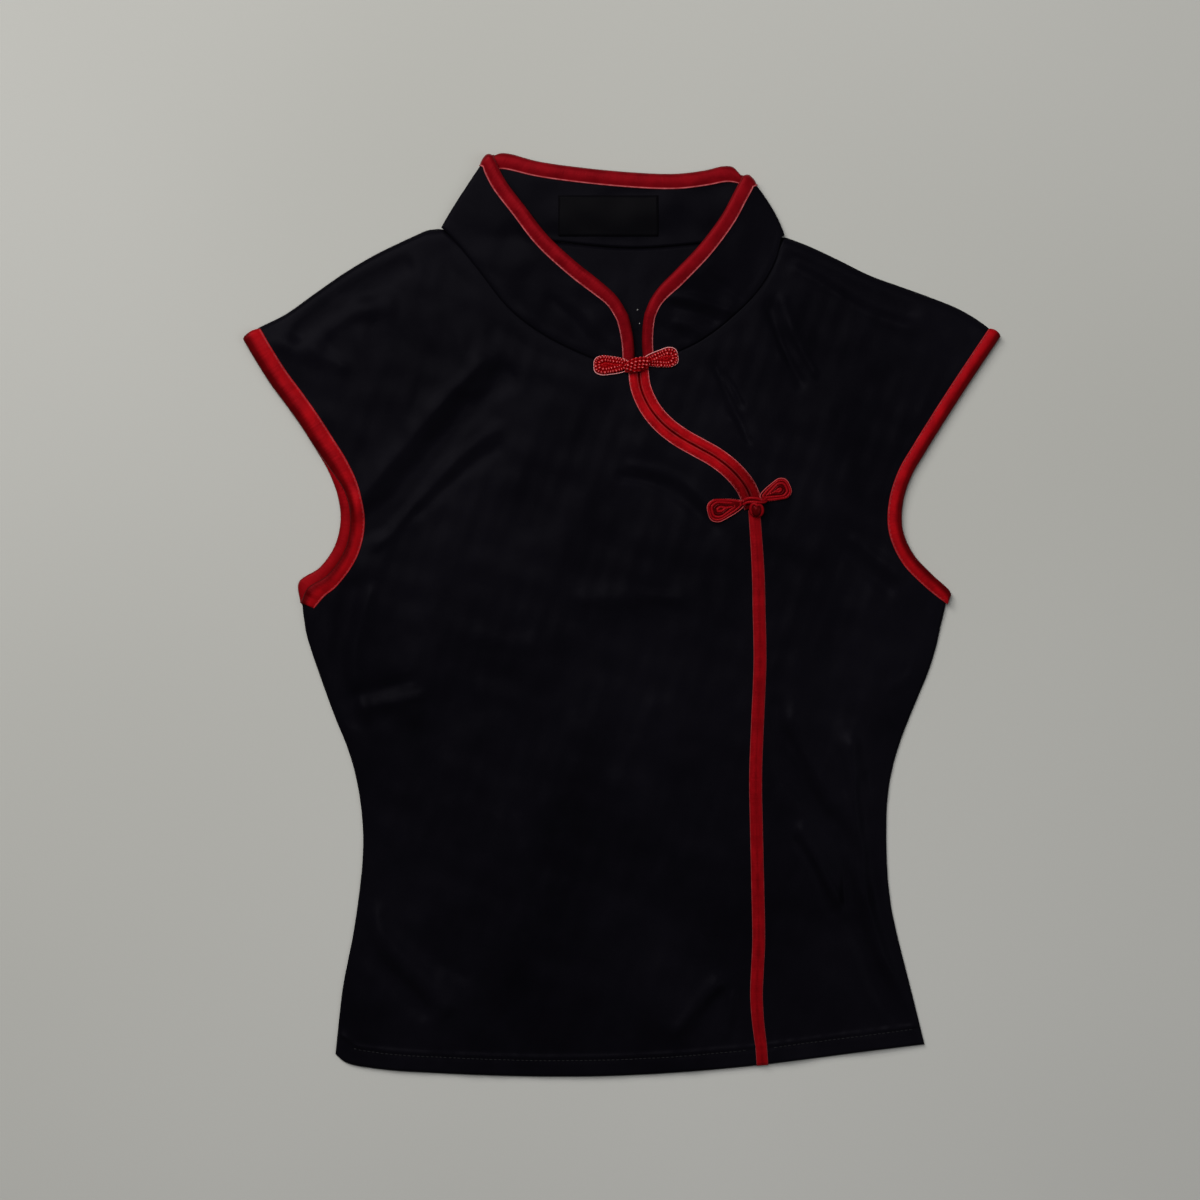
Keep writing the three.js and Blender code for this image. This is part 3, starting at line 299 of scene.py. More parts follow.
opening = np.vstack([straight[:-1], along(S_CURVE, ROWS - ROWS_STRAIGHT)])
groove = np.where(index < ROWS_STRAIGHT, GAP / 2, GROOVE)


def nearest(x, y, *lines):
    """How far each point is from the nearest of some lines."""
    return np.minimum.reduce([distance(line, x, y) for line in lines])


def underside(x, y):
    """The lower face of the fronts, as in the solids."""
    arm = nearest(x, y, arm_r, arm_l)
    edge = nearest(x, y, outline, outline_l, shoulder_l)
    neck = np.minimum(*[np.hypot(p[0] - x, p[1] - y) for p in neck_points])
    loft = LOFT * (1 - np.exp(-edge / LOFT_RUN)) * (0.35 + 0.65 * smooth(0, 45, distance(hem_line, x, y)))
    binding = (WRAP + 0.05) * (1 - smooth(11, 26, arm))
    room = 1.5 * (1 - smooth(4, 40, neck))
    calm = smooth(2, 18, np.minimum(arm, edge)) * smooth(2, 18, distance(neck_line, x, y))
    fold = 0
    for x0, y0, x1, y1, width, height in FOLDS:
        fold = fold + height * np.exp(-(distance(A([[x0, y0], [x1, y1]]), x, y) / width) ** 2)
    body = np.maximum(np.maximum(loft, binding), room)
    floor = np.maximum(np.maximum(binding, room * 0.9), 0.1 * smooth(0, 10, edge))
    return FRONT_Z + np.maximum(body + fold * calm, floor)


def front_top(x, y):
    """The upper face of the front with its finer creases and unevenness."""
    z = underside(x, y) + CLOTH
    border = nearest(x, y, arm_r, arm_l, outline, outline_l, shoulder_l)
    calm = smooth(3, 16, border) * smooth(2, 14, distance(neck_line, x, y))
    calm = calm * smooth(3, 9, distance(opening, x, y))
    fine = 0.34 * waves(x, y, 3, 12, 26, 70) + 0.13 * waves(x, y, 4, 14, 9, 22)
    for width, height, points in CREASES:
        line = cr_points(points, 5)
        w = width * (1 + 0.25 * waves(x, y, 11, 5, 25, 60))
        fine = fine + CREASE_DEPTH * height * np.exp(-(distance(line, x, y) / w) ** 2)
    seam = 0.3 * np.exp(-(distance(neck_line, x, y) / 1.3) ** 2)
    # no trough reaches the back panel
    above = (z + fine * calm - seam - LOWEST_TOP) / SOFT_FLOOR
    return LOWEST_TOP + SOFT_FLOOR * (np.maximum(above, 0) + np.log1p(np.exp(-abs(above))))


# ---- meshes ----
def as_object(name, vertices, faces, material, uv=None):
    """One piece of the model, from points in millimetres, with its uv given for each vertex."""
    mesh = bpy.data.meshes.new(name)
    mesh.from_pydata((np.asarray(vertices) * 0.001).tolist(), [], faces)
    mesh.polygons.foreach_set("use_smooth", [True] * len(mesh.polygons))
    if uv is not None:
        layer = mesh.uv_layers.new(name="UVMap")
        loops = np.zeros(len(mesh.loops), int)
        mesh.loops.foreach_get("vertex_index", loops)
        layer.data.foreach_set("uv", np.asarray(uv, float)[loops].ravel())
    mesh.materials.append(material)
    mesh.update()
    made = bpy.data.objects.new(name, mesh)
    bpy.context.scene.collection.objects.link(made)
    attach(made, "root")
    return made


def grid_faces(rows, cols, start=0, flip=False, wrap_cols=False):
    j, i = np.meshgrid(np.arange(rows - 1), np.arange(cols if wrap_cols else cols - 1), indexing="ij")
    low, n = j * cols, (i + 1) % cols
    quad = np.stack([low + i, low + n, low + cols + n, low + cols + i], -1).reshape(-1, 4) + start
    return (quad[:, ::-1] if flip else quad).tolist()


def shell(name, top, bottom, material):
    """A thin closed wall between two grids of points."""
    rows, cols = top.shape[:2]
    size = rows * cols
    faces = grid_faces(rows, cols) + grid_faces(rows, cols, size, True)
    ids = np.arange(size).reshape(rows, cols)
    loop = np.concatenate([ids[0], ids[1:, -1], ids[-1, -2::-1], ids[-2:0:-1, 0]])
    nxt = np.roll(loop, -1)
    faces += np.stack([loop, loop + size, nxt + size, nxt], 1).tolist()
    flat = np.concatenate([top.reshape(-1, 3), bottom.reshape(-1, 3)])
    return as_object(name, flat, faces, material)


def tube(name, rings, material, uv=None):
    """Closed sections in rings (station, point, xyz), with both ends closed."""
    rows, cols = rings.shape[:2]
    faces = grid_faces(rows, cols, wrap_cols=True)
    faces.append(list(range(cols))[::-1])
    faces.append([(rows - 1) * cols + k for k in range(cols)])
    made = as_object(name, rings.reshape(-1, 3), faces, material, uv)
    # faces that point inwards give a negative volume
    volume = 0
    v = rings.reshape(-1, 3)
    for f in faces[:: max(1, len(faces) // 4000)]:
        a, b, c = v[f[0]], v[f[1]], v[f[2]]
        volume += np.dot(a - v[0], np.cross(b - v[0], c - v[0]))
    if volume < 0:
        made.data.flip_normals()
    return made


# ---- materials ----
def material(name, colour, roughness, **sockets):
    m = bpy.data.materials.new(name)
    m.use_nodes = True
    tree = m.node_tree
    shader = tree.nodes["Principled BSDF"]
    shader.inputs["Base Color"].default_value = (*colour, 1)
    shader.inputs["Roughness"].default_value = roughness
    for key, value in sockets.items():
        shader.inputs[key.replace("_", " ")].default_value = value
    return m, tree, shader


def node(tree, kind, **settings):
    n = tree.nodes.new(kind)
    for key, value in settings.items():
        if key in n.inputs:
            n.inputs[key].default_value = value
        else:
            setattr(n, key, value)
    return n


def ramp(tree, source, stops):
    r = node(tree, "ShaderNodeValToRGB")
    elements = r.color_ramp.elements
    while len(elements) < len(stops):
        elements.new(0.5)
    for e, (where, colour) in zip(elements, stops):
        e.position = where
        e.color = (*colour, 1)
    tree.links.new(source, r.inputs["Fac"])
    return r.outputs["Color"]


def bump(tree, shader, layers):
    """layers: (height socket, strength, distance in metres), the first one deepest."""
    normal = None
    for source, strength, depth in layers:
        b = node(tree, "ShaderNodeBump", Strength=strength, Distance=depth)
        tree.links.new(source, b.inputs["Height"])
        if normal:
            tree.links.new(normal, b.inputs["Normal"])
        normal = b.outputs["Normal"]
    tree.links.new(normal, shader.inputs["Normal"])


def grey(value):
    return (value,) * 3


def multiplied(tree, a, b):
    """A colour times another colour or a number."""
    mix = node(tree, "ShaderNodeMix", data_type="RGBA", blend_type="MULTIPLY")
    mix.inputs["Factor"].default_value = 1
    tree.links.new(a, mix.inputs[6])
    tree.links.new(b, mix.inputs[7])
    return mix.outputs[2]


def noise_of(tree, vector, scale, detail=3, rough=0.5):
    n = node(tree, "ShaderNodeTexNoise", Scale=scale, Detail=detail, Roughness=rough)
    tree.links.new(vector, n.inputs["Vector"])
    return n.outputs["Fac"]


def wave_of(tree, vector, scale, distortion, direction="X", **settings):
    n = node(tree, "ShaderNodeTexWave", Scale=scale, Distortion=distortion, **settings)
    n.bands_direction = direction
    tree.links.new(vector, n.inputs["Vector"])
    return n.outputs["Fac"]


def stretched(tree, vector, scale):
    m = node(tree, "ShaderNodeMapping")
    m.inputs["Scale"].default_value = scale
    tree.links.new(vector, m.inputs["Vector"])
    return m.outputs["Vector"]


def remap(tree, source, low, high, out_low, out_high):
    r = node(tree, "ShaderNodeMapRange")
    for key, value in (("From Min", low), ("From Max", high), ("To Min", out_low), ("To Max", out_high)):
        r.inputs[key].default_value = value
    tree.links.new(source, r.inputs["Value"])
    return r.outputs["Result"]


def cloth_material():
    """Black satin-faced jersey: its tone varies in broad patches, uneven dye with painted sheen and shade,
    and its gloss varies, over fine ribs and courses.
    """
    m, tree, shader = material("black_satin_jersey", (0.003, 0.0027, 0.004), 0.3, Specular_IOR_Level=0.012)
    shader.inputs["Specular Tint"].default_value = (0.86, 0.84, 1, 1)
    where = node(tree, "ShaderNodeTexCoord").outputs["Object"]
    # broad random patches of tone: uneven dye, with painted sheen and painted shade
    soft = noise_of(tree, where, 9, 5, 0.6)
    tree.links.new(ramp(tree, soft, [(0.3, (0.0019, 0.0017, 0.0028)), (0.7, (0.0042, 0.0038, 0.0058))]),
                   shader.inputs["Base Color"])
    gloss = noise_of(tree, where, 30, 3, 0.5)
    tree.links.new(remap(tree, gloss, 0.3, 0.7, 0.28, 0.36), shader.inputs["Roughness"])
    ribs = wave_of(tree, where, 620, 0.6, "X", Detail=1, **{"Detail Scale": 2})
    courses = wave_of(tree, where, 480, 0.8, "Y", Detail=1)
    bump(tree, shader, [
        (noise_of(tree, where, 55, 4, 0.6), 0.35, 0.0006), (courses, 0.10, 0.00012), (ribs, 0.16, 0.00012)])
    return m


def tape_material(name, dark, bright, painted_fold_highlight, painted_outer_shade=1.0, painted_edge_highlight=0.0, start=1.0):
    """Satin tape; UV.X is millimetres along it and UV.Y 0 to 1 across it. Its colour holds painted light:
    after the two tones, the arguments are how strongly a painted highlight line shows along its stitched
    edge, how dark the painted shade is where the satin rolls over the outer edge, how strongly a painted
    highlight line shows near that edge, and how dark the painted shade on its first 15 mm is."""
    m, tree, shader = material(name, bright, 0.4, Specular_IOR_Level=0.3)
    shader.inputs["Specular Tint"].default_value = (1, 0.03, 0.05, 1)
    uv = node(tree, "ShaderNodeTexCoord").outputs["UV"]
    # streaks along the tape between its dark and bright tone: painted satin sheen; the same streaks also vary
    # its gloss
    painted_sheen_and_gloss_streak = noise_of(tree, stretched(tree, uv, (0.03, 0.4, 1)), 3, 3, 0.5)
    tint = ramp(tree, painted_sheen_and_gloss_streak, [(0.3, dark), (0.66, bright)])
    parts_ = node(tree, "ShaderNodeSeparateXYZ")
    tree.links.new(uv, parts_.inputs[0])
    # painted highlight lines across the tape: a thin one near its outer edge and one along its stitched edge
    fold = ramp(tree, parts_.outputs["Y"], [
        (0.1, grey(0)), (0.13, grey(painted_edge_highlight)), (0.17, grey(painted_edge_highlight)), (0.2, grey(0)),
        (0.9, grey(0)), (0.93, grey(1)), (0.965, grey(1)), (0.99, grey(0))])
    # the painted highlight lines grow stronger and fainter along the tape
    patches = noise_of(tree, stretched(tree, uv, (0.1, 0, 1)), 1.6, 3, 0.6)
    uneven = remap(tree, patches, 0.35, 0.65, 0.25 * painted_fold_highlight, painted_fold_highlight)
    amount = node(tree, "ShaderNodeMath", operation="MULTIPLY")
    tree.links.new(fold, amount.inputs[0])
    tree.links.new(uneven, amount.inputs[1])
    mix = node(tree, "ShaderNodeMix", data_type="RGBA")
    tree.links.new(amount.outputs[0], mix.inputs["Factor"])
    tree.links.new(tint, mix.inputs[6])
    # the pale pink of the painted highlight lines
    mix.inputs[7].default_value = (0.6, 0.17, 0.18, 1)
    # painted shade: the satin darker where it rolls over the outer edge
    painted_outer_shade_ramp = ramp(tree, parts_.outputs["Y"], [
        (0.02, grey(painted_outer_shade * 0.8)), (0.28, grey(painted_outer_shade)), (0.52, grey(1))])
    turned = multiplied(tree, mix.outputs[2], painted_outer_shade_ramp)
    # painted shade: the tape darker over its first 15 to 38 mm
    shaded = multiplied(tree, turned, remap(tree, parts_.outputs["X"], 15, 38, start, 1))
    tree.links.new(shaded, shader.inputs["Base Color"])
    tree.links.new(remap(tree, painted_sheen_and_gloss_streak, 0.3, 0.7, 0.32, 0.46), shader.inputs["Roughness"])
    weave = wave_of(tree, stretched(tree, uv, (4, 40, 1)), 0.55, 0.4, "DIAGONAL", Detail=1)
    pucker = noise_of(tree, stretched(tree, uv, (0.35, 0.4, 1)), 2.2, 2, 0.5)
    bump(tree, shader, [(pucker, 0.25, 0.0007), (weave, 0.04, 0.0001)])
    return m


def cord_material(name, stops, shine):
    """Satin cord; UV.X is millimetres along it, UV.Y how high the surface stands in its twist, 0 to 1; its
    colour is painted shade where it is low and a painted highlight where it is high.
    """
    m, tree, shader = material(name, (0.25, 0.004, 0.007), 0.24, Specular_IOR_Level=shine)
    shader.inputs["Specular Tint"].default_value = (1, 0.1, 0.11, 1)
    uv = node(tree, "ShaderNodeTexCoord").outputs["UV"]
    parts_ = node(tree, "ShaderNodeSeparateXYZ")
    tree.links.new(uv, parts_.inputs[0])
    tree.links.new(ramp(tree, parts_.outputs["Y"], stops), shader.inputs["Base Color"])
    strands = noise_of(tree, stretched(tree, uv, (1.5, 4, 1)), 2, 2, 0.5)
    bump(tree, shader, [(strands, 0.4, 0.0002)])
    return m


def thread_material(name, colour):
    m, tree, shader = material(name, colour, 0.5, Specular_IOR_Level=0.3)
    where = node(tree, "ShaderNodeTexCoord").outputs["Object"]
    twist = wave_of(tree, where, 900, 0.3, "DIAGONAL")
    dark = tuple(c * 0.7 for c in colour)
    tree.links.new(ramp(tree, twist, [(0, dark), (1, colour)]), shader.inputs["Base Color"])
    bump(tree, shader, [(twist, 0.4, 0.0001)])
    return m


def label_material():
    dark, light = (0.0018, 0.0017, 0.0022), (0.0034, 0.0031, 0.0042)
    m, tree, shader = material("plain_woven_label", (0.002, 0.0019, 0.0025), 0.36, Specular_IOR_Level=0.011)
    where = node(tree, "ShaderNodeTexCoord").outputs["Object"]
    weave = wave_of(tree, where, 700, 0.2)
    tree.links.new(ramp(tree, weave, [(0, dark), (1, light)]), shader.inputs["Base Color"])
    bump(tree, shader, [(weave, 0.3, 0.0001)])
    return m


def floor_material():
    m, tree, shader = material("pale_floor", (0.52, 0.52, 0.49), 0.85, Specular_IOR_Level=0.2)
    where = node(tree, "ShaderNodeTexCoord").outputs["Object"]
    tone = ramp(tree, noise_of(tree, where, 1.3, 2, 0.4), [
        (0.3, (0.46, 0.46, 0.43)), (0.7, (0.53, 0.53, 0.505))])
    tree.links.new(tone, shader.inputs["Base Color"])
    bump(tree, shader, [(noise_of(tree, where, 900, 2, 0.5), 0.15, 0.0003)])
    return m


CLOTH_M = cloth_material()
# one red satin tape in four tones, each set to how brightly its place is lit: the lighter and darker copies
# are painted light and shade
TAPE_M = tape_material("red_satin_tape", (0.11, 0.0015, 0.0035), (0.185, 0.0028, 0.006), 0.75)
OPENING_TAPE_M = tape_material(
    "red_satin_tape_opening", (0.2, 0.0018, 0.0036), (0.38, 0.0036, 0.0065), 1.0, 1.0, 0.2, 0.4)
BAND_TAPE_M = tape_material("red_satin_tape_band", (0.15, 0.0018, 0.0036), (0.23, 0.0026, 0.005), 0.3)
ARM_TAPE_M = tape_material("red_satin_tape_armhole", (0.17, 0.002, 0.004), (0.31, 0.003, 0.0055), 0.2, 0.3)
# cord tones by UV.Y, from painted shade low in the twist to a pale painted highlight on top
CORD_M = cord_material("red_satin_cord", [
    (0.1, (0.13, 0.001, 0.002)), (0.5, (0.3, 0.002, 0.004)),
    (0.84, (0.42, 0.004, 0.007)), (0.97, (0.75, 0.3, 0.3))], 0.3)
DARK_CORD_M = cord_material("dark_red_satin_cord", [
    (0.1, (0.04, 0.0005, 0.001)), (0.55, (0.1, 0.001, 0.002)),
    (0.86, (0.24, 0.003, 0.006)), (0.99, (0.5, 0.07, 0.075))], 0.2)
THREAD_M = thread_material("black_thread", (0.0025, 0.0027, 0.0034))
RED_THREAD_M = thread_material("red_thread", (0.3, 0.02, 0.028))
WHITE_THREAD_M = thread_material("white_thread", (0.6, 0.6, 0.58))
LABEL_M = label_material()


# ---- front and back panels ----
def patch(left, right, bottom, top):
    """A grid of points in plan that fills four edges."""
    v = np.linspace(0, 1, len(left))[:, None, None]
    u = np.linspace(0, 1, len(bottom))[None, :, None]
    p = (1 - u) * left[:, None] + u * right[:, None]
    low = bottom[None] - ((1 - u) * bottom[0] + u * bottom[-1])
    high = top[None] - ((1 - u) * top[0] + u * top[-1])
    return p + (1 - v) ** 2 * low + v ** 2 * high


def fine_side(line, corner):
    """A side of a panel from the hem, closer rows at the hem, with a corner kept at one vertex."""
    lower = cr_points(line[:corner + 1], 12)
    near = np.arange(HEM_ROWS + 1)
    rest = np.linspace(HEM_ROWS, lengths(lower)[-1], corner * FINE - HEM_ROWS + 1)[1:]
    low = at_length(lower, np.concatenate([near, rest]))
    upper = even(cr_points(line[corner:], 12), (len(line) - 1 - corner) * FINE)
    return np.vstack([low, upper[1:]])


def between(line, a, b):
    """The part of a line from near point a to near point b."""
    i, j = (int(np.argmin(np.linalg.norm(line - p, axis=1))) for p in (a, b))
    return np.vstack([a, line[i + 1:j], b])


def on_seam(edge, line):
    """Where the last step of a line meets the collar's seam line."""
    step_, seam, from_ = line[-1] - line[-2], edge[1] - edge[0], edge[0] - line[-2]
    cross = step_[0] * seam[1] - step_[1] * seam[0]
    return line[-2] + step_ * (from_[0] * seam[1] - from_[1] * seam[0]) / cross


open_r, open_l = offset(opening, groove), offset(opening, -groove)
open_r[-1], open_l[-1] = on_seam(edge_r, open_r), on_seam(edge_l, open_l)

COLS_SHOULDER, COLS_NECK = 10 * FINE, 12 * FINE
ROLL_SIDE, ROLL_HEM, ROLL_Z = 5.5, 2.2, 1.0  # how far in the cloth rolls down, and to what height
shoulder_r_line = between(along(SHOULDER_R, 200), front_r[-1], neck_points[0])
shoulder_l_line = between(along(SHOULDER_L, 200), neck_points[1], front_l[-1])
under_r, under_l = offset(seam_r, -0.5), offset(seam_l, 0.5)
under_r[-1], under_l[-1] = neck_points
neck_r_line = np.vstack([open_r[-1], under_r[1:]])[::-1]
neck_l_line = np.vstack([open_l[-1], under_l[1:]])


def rolled(x, y, z):
    """Turns the cloth down at the side seams, shoulders and hem, over a few millimetres."""
    edge = nearest(x, y, side_r, side_l, outline[len(side_r) + len(arm_r):], shoulder_l)
    d = np.minimum(edge / ROLL_SIDE, distance(hem_line, x, y) / ROLL_HEM)
    drop = np.sqrt(np.clip(1 - (1 - np.clip(d, 0, 1)) ** 2, 0, 1))
    return ROLL_Z + (z - ROLL_Z) * drop


def hem_relief(x, y):
    """The turned hem: a thicker band 11 mm deep, its stitch line pulled in, with small puckers above it."""
    d = distance(hem_line, x, y)
    band = 0.55 * (1 - smooth(10.6, 12.4, d)) - 0.45 * np.exp(-((d - HEM_STITCH) / 0.9) ** 2)
    ridge = 0.8 * np.exp(-((d - 12.9) / 1.5) ** 2)
    pucker = 0.16 * waves(x, y * 0.2, 21, 9, 5, 12) * np.exp(-((d - 12) / 4.5) ** 2)
    return band + ridge + pucker


def panel(name, plan, replaced):
    """A front, as a thin shell; its lower face stays off the back panel."""
    x, y = plan[..., 0], plan[..., 1]
    z = rolled(x, y, front_top(x, y) + hem_relief(x, y))
    low = np.maximum(z - SHELL, LOWEST_INSIDE)
    made = shell(name, np.dstack([x, y, z]), np.dstack([x, y, low]), CLOTH_M)
    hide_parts(replaced)
    return made


# at the right underarm the cloth's edge lies well under the tape's square end
hidden_r = front_r.copy()
hidden_r[ROWS_SIDE:ROWS_SIDE + 3] += [(1.6, -0.4), (2.6, -2.4), (0.4, -0.4)]
plan_r = patch(fine_side(hidden_r, ROWS_SIDE), fine_side(open_r, ROWS_STRAIGHT),
               even(between(hem_line, front_r[0], open_r[0]), COLS_SHOULDER + COLS_NECK),
               np.vstack([even(shoulder_r_line, COLS_SHOULDER), even(neck_r_line, COLS_NECK)[1:]]))
plan_l = patch(fine_side(open_l, ROWS_STRAIGHT), fine_side(front_l, ROWS_SIDE),
               even(between(hem_line, open_l[0], front_l[0]), COLS_SHOULDER + COLS_NECK),
               np.vstack([even(neck_l_line, COLS_NECK), even(shoulder_l_line, COLS_SHOULDER)[1:]]))
front_right = panel("front_right_cloth", plan_r, "front_right")
front_left = panel("front_left_cloth", plan_l, "front_left")



def make_back_panel():
    """The back, flat where it rests, with low waves where it shows inside the neck."""
    fine = max(2, FINE // 2)
    shoulder, neck, rows = 10 * fine, 24 * fine, 60 * fine
    top_line = np.vstack([
        even(between(along(SHOULDER_R, 200), back_r[-1], neck_points[0]), shoulder),
        even(np.vstack([neck_points[0], offset(seam_b, -0.1)[1:-1], neck_points[1]]), neck)[1:],
        even(between(along(SHOULDER_L, 200), neck_points[1], back_l[-1]), shoulder)[1:]])
    plan = patch(even(cr_points(back_r, 6), rows), even(cr_points(back_l, 6), rows),
                 even(between(hem_line, back_r[0], back_l[0]), 2 * shoulder + neck), top_line)
    x, y = plan[..., 0], plan[..., 1]
    lift = 0.4 * (1 - smooth(8.6, 12, nearest(x, y, arm_r, arm_l)))
    neck_edge = distance(np.vstack([neck_line, edge_b]), x, y)
    calm = smooth(2, 14, neck_edge) * smooth(8, 20, distance(outline, x, y))
    wave = calm * (0.28 * np.clip(waves(x, y, 31, 12, 14, 40), -1.5, 1.5) + 0.2)
    top = BACK_SHELL + lift + np.clip(wave, 0, 0.35)
    made = shell("back_panel_cloth", np.dstack([x, y, top]), np.dstack([x, y, lift]), CLOTH_M)
    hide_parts("back_panel")
    return made


back_panel = make_back_panel()


# ---- collar ----
def collar_mid(steps_front, steps_back, steps_arc, v):
    """The middle of the collar band, as a grid of rows from the neck seam and stations round the neck."""
    v = v[:, None]
    back_z_of = NECK_BACK_Z + (TOP_BACK_Z - NECK_BACK_Z) * smooth(0, 0.64, v)
    front_z_of = NECK_FRONT_Z + (TOP_FRONT_Z - NECK_FRONT_Z) * v

    def front(neck, top):
        n = even(cr_points(neck, 40), steps_front)
        t = even(cr_points(top, 40), steps_front)
        k = np.linspace(0, 1, steps_front + 1)
        nz = np.maximum(underside(n[:, 0], n[:, 1]) + CLOTH / 2, NECK_FRONT_Z * smooth(0.6, 1, k))
        nz[-1] = NECK_FRONT_Z
        nz = nz + (NECK_FRONT_Z - nz) * smooth(0.8, 1, k)
        p = np.zeros((len(v), steps_front + 1, 3))
        p[..., :2] = (1 - v)[..., None] * n[None] + v[..., None] * t[None, :, :2]
        p[..., 2] = (1 - v) * nz + v * t[:, 2]
        return p

    fr, fl = front(COLLAR_NECK_R, COLLAR_TOP_R), front(COLLAR_NECK_L, COLLAR_TOP_L)
    n, t = even(cr_points(COLLAR_NECK_B, 40), steps_back), even(cr_points(COLLAR_TOP_B, 40), steps_back)
    back = np.zeros((len(v), steps_back + 1, 3))
    back[..., :2] = (1 - v)[..., None] * n[None] + v[..., None] * t[None]
    back[..., 2] = back_z_of

    def arc(a, b, out, up):
        cols = []
        for k in range(1, steps_arc):
            s = k / steps_arc
            angle = (-1 if up else 1) * (math.pi / 2 - math.pi * s)
            r = ((front_z_of - back_z_of) / 2)[:, 0]
            centre = a + (b - a) * (1 - s if up else s)
            p = centre.copy()
            p[:, :2] += out[None] * (r * math.cos(angle))[:, None]
            p[:, 2] = ((front_z_of + back_z_of) / 2)[:, 0] + r * math.sin(angle)
            cols.append(p)
        return np.stack(cols, 1)

    mid = np.concatenate([fr, arc(fr[:, -1], back[:, 0], FOLD_R, False), back,
                          arc(fl[:, -1], back[:, -1], FOLD_L, True), fl[:, ::-1]], 1)
    total = mid.shape[1]
    whole = coarse_stations(steps_front, steps_back, steps_arc)
    station = np.minimum(whole, LAST_STATION - whole)
    right = np.arange(total) < total / 2
    bow = 5.6 * v * (1 - v) * np.exp(-station / 2)
    mid[..., 0] += np.where(right, 1, -1) * bow
    from_fold = np.maximum(0, abs(station - COLLAR_FRONT - 3) - 3)
    bulge = 4 * v * (1 - v) * np.where(right, BOW_R, BOW_L) * np.exp(-from_fold / 2)
    mid[..., :2] += bulge[..., None] * np.where(right[:, None], FOLD_R, FOLD_L)[None]
    return mid


def coarse_stations(steps_front, steps_back, steps_arc):
    """Each fine station's place among the stations of the solid collar, 0 to LAST_STATION."""
    front = np.arange(steps_front + 1) * COLLAR_FRONT / steps_front
    arc = COLLAR_FRONT + np.arange(1, steps_arc) * COLLAR_ARC / steps_arc
    back = COLLAR_FRONT + COLLAR_ARC + np.arange(steps_back + 1) * COLLAR_BACK / steps_back
    return np.concatenate([front, arc, back, LAST_STATION - arc[::-1], LAST_STATION - front[::-1]])


def normals_of(grid):
    du = np.gradient(grid, axis=1)
    dv = np.gradient(grid, axis=0)
    n = np.cross(du, dv)
    return n / np.linalg.norm(n, axis=2, keepdims=True)


COLLAR_CREASES = [
    (3.0, 1.3, [(30, 203), (50, 200), (70, 193)]),
    (2.6, -1.0, [(34, 196), (50, 192), (66, 184)]),
    (2.6, 0.9, [(36, 186), (46, 183), (55, 176)]),
    (3.0, -0.6, [(24, 184), (36, 179), (46, 172)]),
    (3.0, -0.7, [(58, 214), (70, 206), (78, 200)]),
    (7.0, -0.9, [(-98, 244), (-78, 240), (-56, 243)]),
    (6.0, 0.5, [(-92, 228), (-76, 222), (-60, 224)]),
    (3.0, -0.5, [(-20, 176), (-30, 188), (-44, 200)]),
    (3.0, 0.4, [(-6, 172), (-18, 186), (-30, 198)]),
]
CF, CB, CA = 11 * FINE, 14 * FINE, 12
v_rows = np.linspace(0, 1, 5 * FINE + 1)
mid = collar_mid(CF, CB, CA, v_rows)
stations = mid.shape[1]
first_back, last_back = CF + CA, CF + CA + CB
coarse = coarse_stations(CF, CB, CA)
normal = normals_of(mid)
normal[:, 0], normal[:, -1] = normal[:, 1], normal[:, -2]
k = np.arange(stations)
is_front = (k <= CF) | (k >= stations - 1 - CF)
near_fold = np.where(is_front, 1 - smooth(0.7, 1, np.where(k <= CF, k, stations - 1 - k) / CF), 0)
calm_v = (smooth(0, 0.12, v_rows) * (1 - smooth(0.72, 0.86, v_rows)))[:, None]
crease = 0
for width, height, points in COLLAR_CREASES:
    away = distance(cr_points(points, 5), mid[..., 0], mid[..., 1])
    crease = crease + height * np.exp(-(away / width) ** 2)
crease = crease + 0.22 * waves(mid[..., 0], mid[..., 1], 41, 12, 16, 45)
lift = near_fold * crease * calm_v
back_only = smooth(0, 6, k - first_back) * smooth(0, 6, last_back - k)
lift = lift - back_only * calm_v * 0.25 * waves(mid[..., 0], mid[..., 1], 43, 10, 18, 50)
# the seam allowance inside shows as a low band along the neck seam
ruling = np.linalg.norm(mid[-1] - mid[0], axis=1)
from_seam = v_rows[:, None] * ruling[None]
lift_band = 0.2 * (1 - smooth(4.0, 7.0, from_seam)) - 0.3 * np.exp(-(from_seam / 1.1) ** 2)
if normal[2, 4, 2] < 0:  # on the front halves the outer face is up
    normal = -normal
top_side = mid + normal * (COLLAR / 2 + lift + lift_band * is_front)[..., None]
low_side = mid - normal * (COLLAR / 2 - lift)[..., None]
# either face is the lower one somewhere, and neither goes below the surface that the garment lies on
top_side[..., 2], low_side[..., 2] = np.maximum(top_side[..., 2], 0), np.maximum(low_side[..., 2], 0)
collar = shell("collar_band", top_side, low_side, CLOTH_M)
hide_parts("collar")

# ---- bindings ----
PUCKER = 0.028  # depth of each of its ten waves
# profile of folded tape across its width, 0 at the wrapped edge and 1 at the stitched edge: how far it
# stands off the cloth, in millimetres
TAPE_PROFILE = A([
    [1.0, -0.05], [0.998, 0.36], [0.978, 0.6], [0.945, 0.62], [0.91, 0.48], [0.88, 0.46], [0.84, 0.62],
    [0.74, 0.98], [0.6, 1.24], [0.45, 1.32], [0.3, 1.22], [0.17, 0.94], [0.08, 0.58], [0.02, 0.08]])


def frames(line):
    """The direction of a line at each of its points."""
    t = np.gradient(line, axis=0)
    return t / np.linalg.norm(t, axis=1, keepdims=True)


def puckers(run, across, seed):
    """Small uneven waves of sewn tape, in millimetres, which fade out at both its edges."""
    rng = np.random.default_rng(seed)
    total = 0
    for _ in range(10):
        turns = run[:, None] / rng.uniform(3.5, 15) + across[None] * rng.uniform(-0.5, 0.5)
        total = total + np.sin(2 * math.pi * turns + rng.uniform(0, 6.3)) * rng.uniform(0.3, 1)
    return total * PUCKER * np.sin(math.pi * np.clip(across, 0, 1))[None]


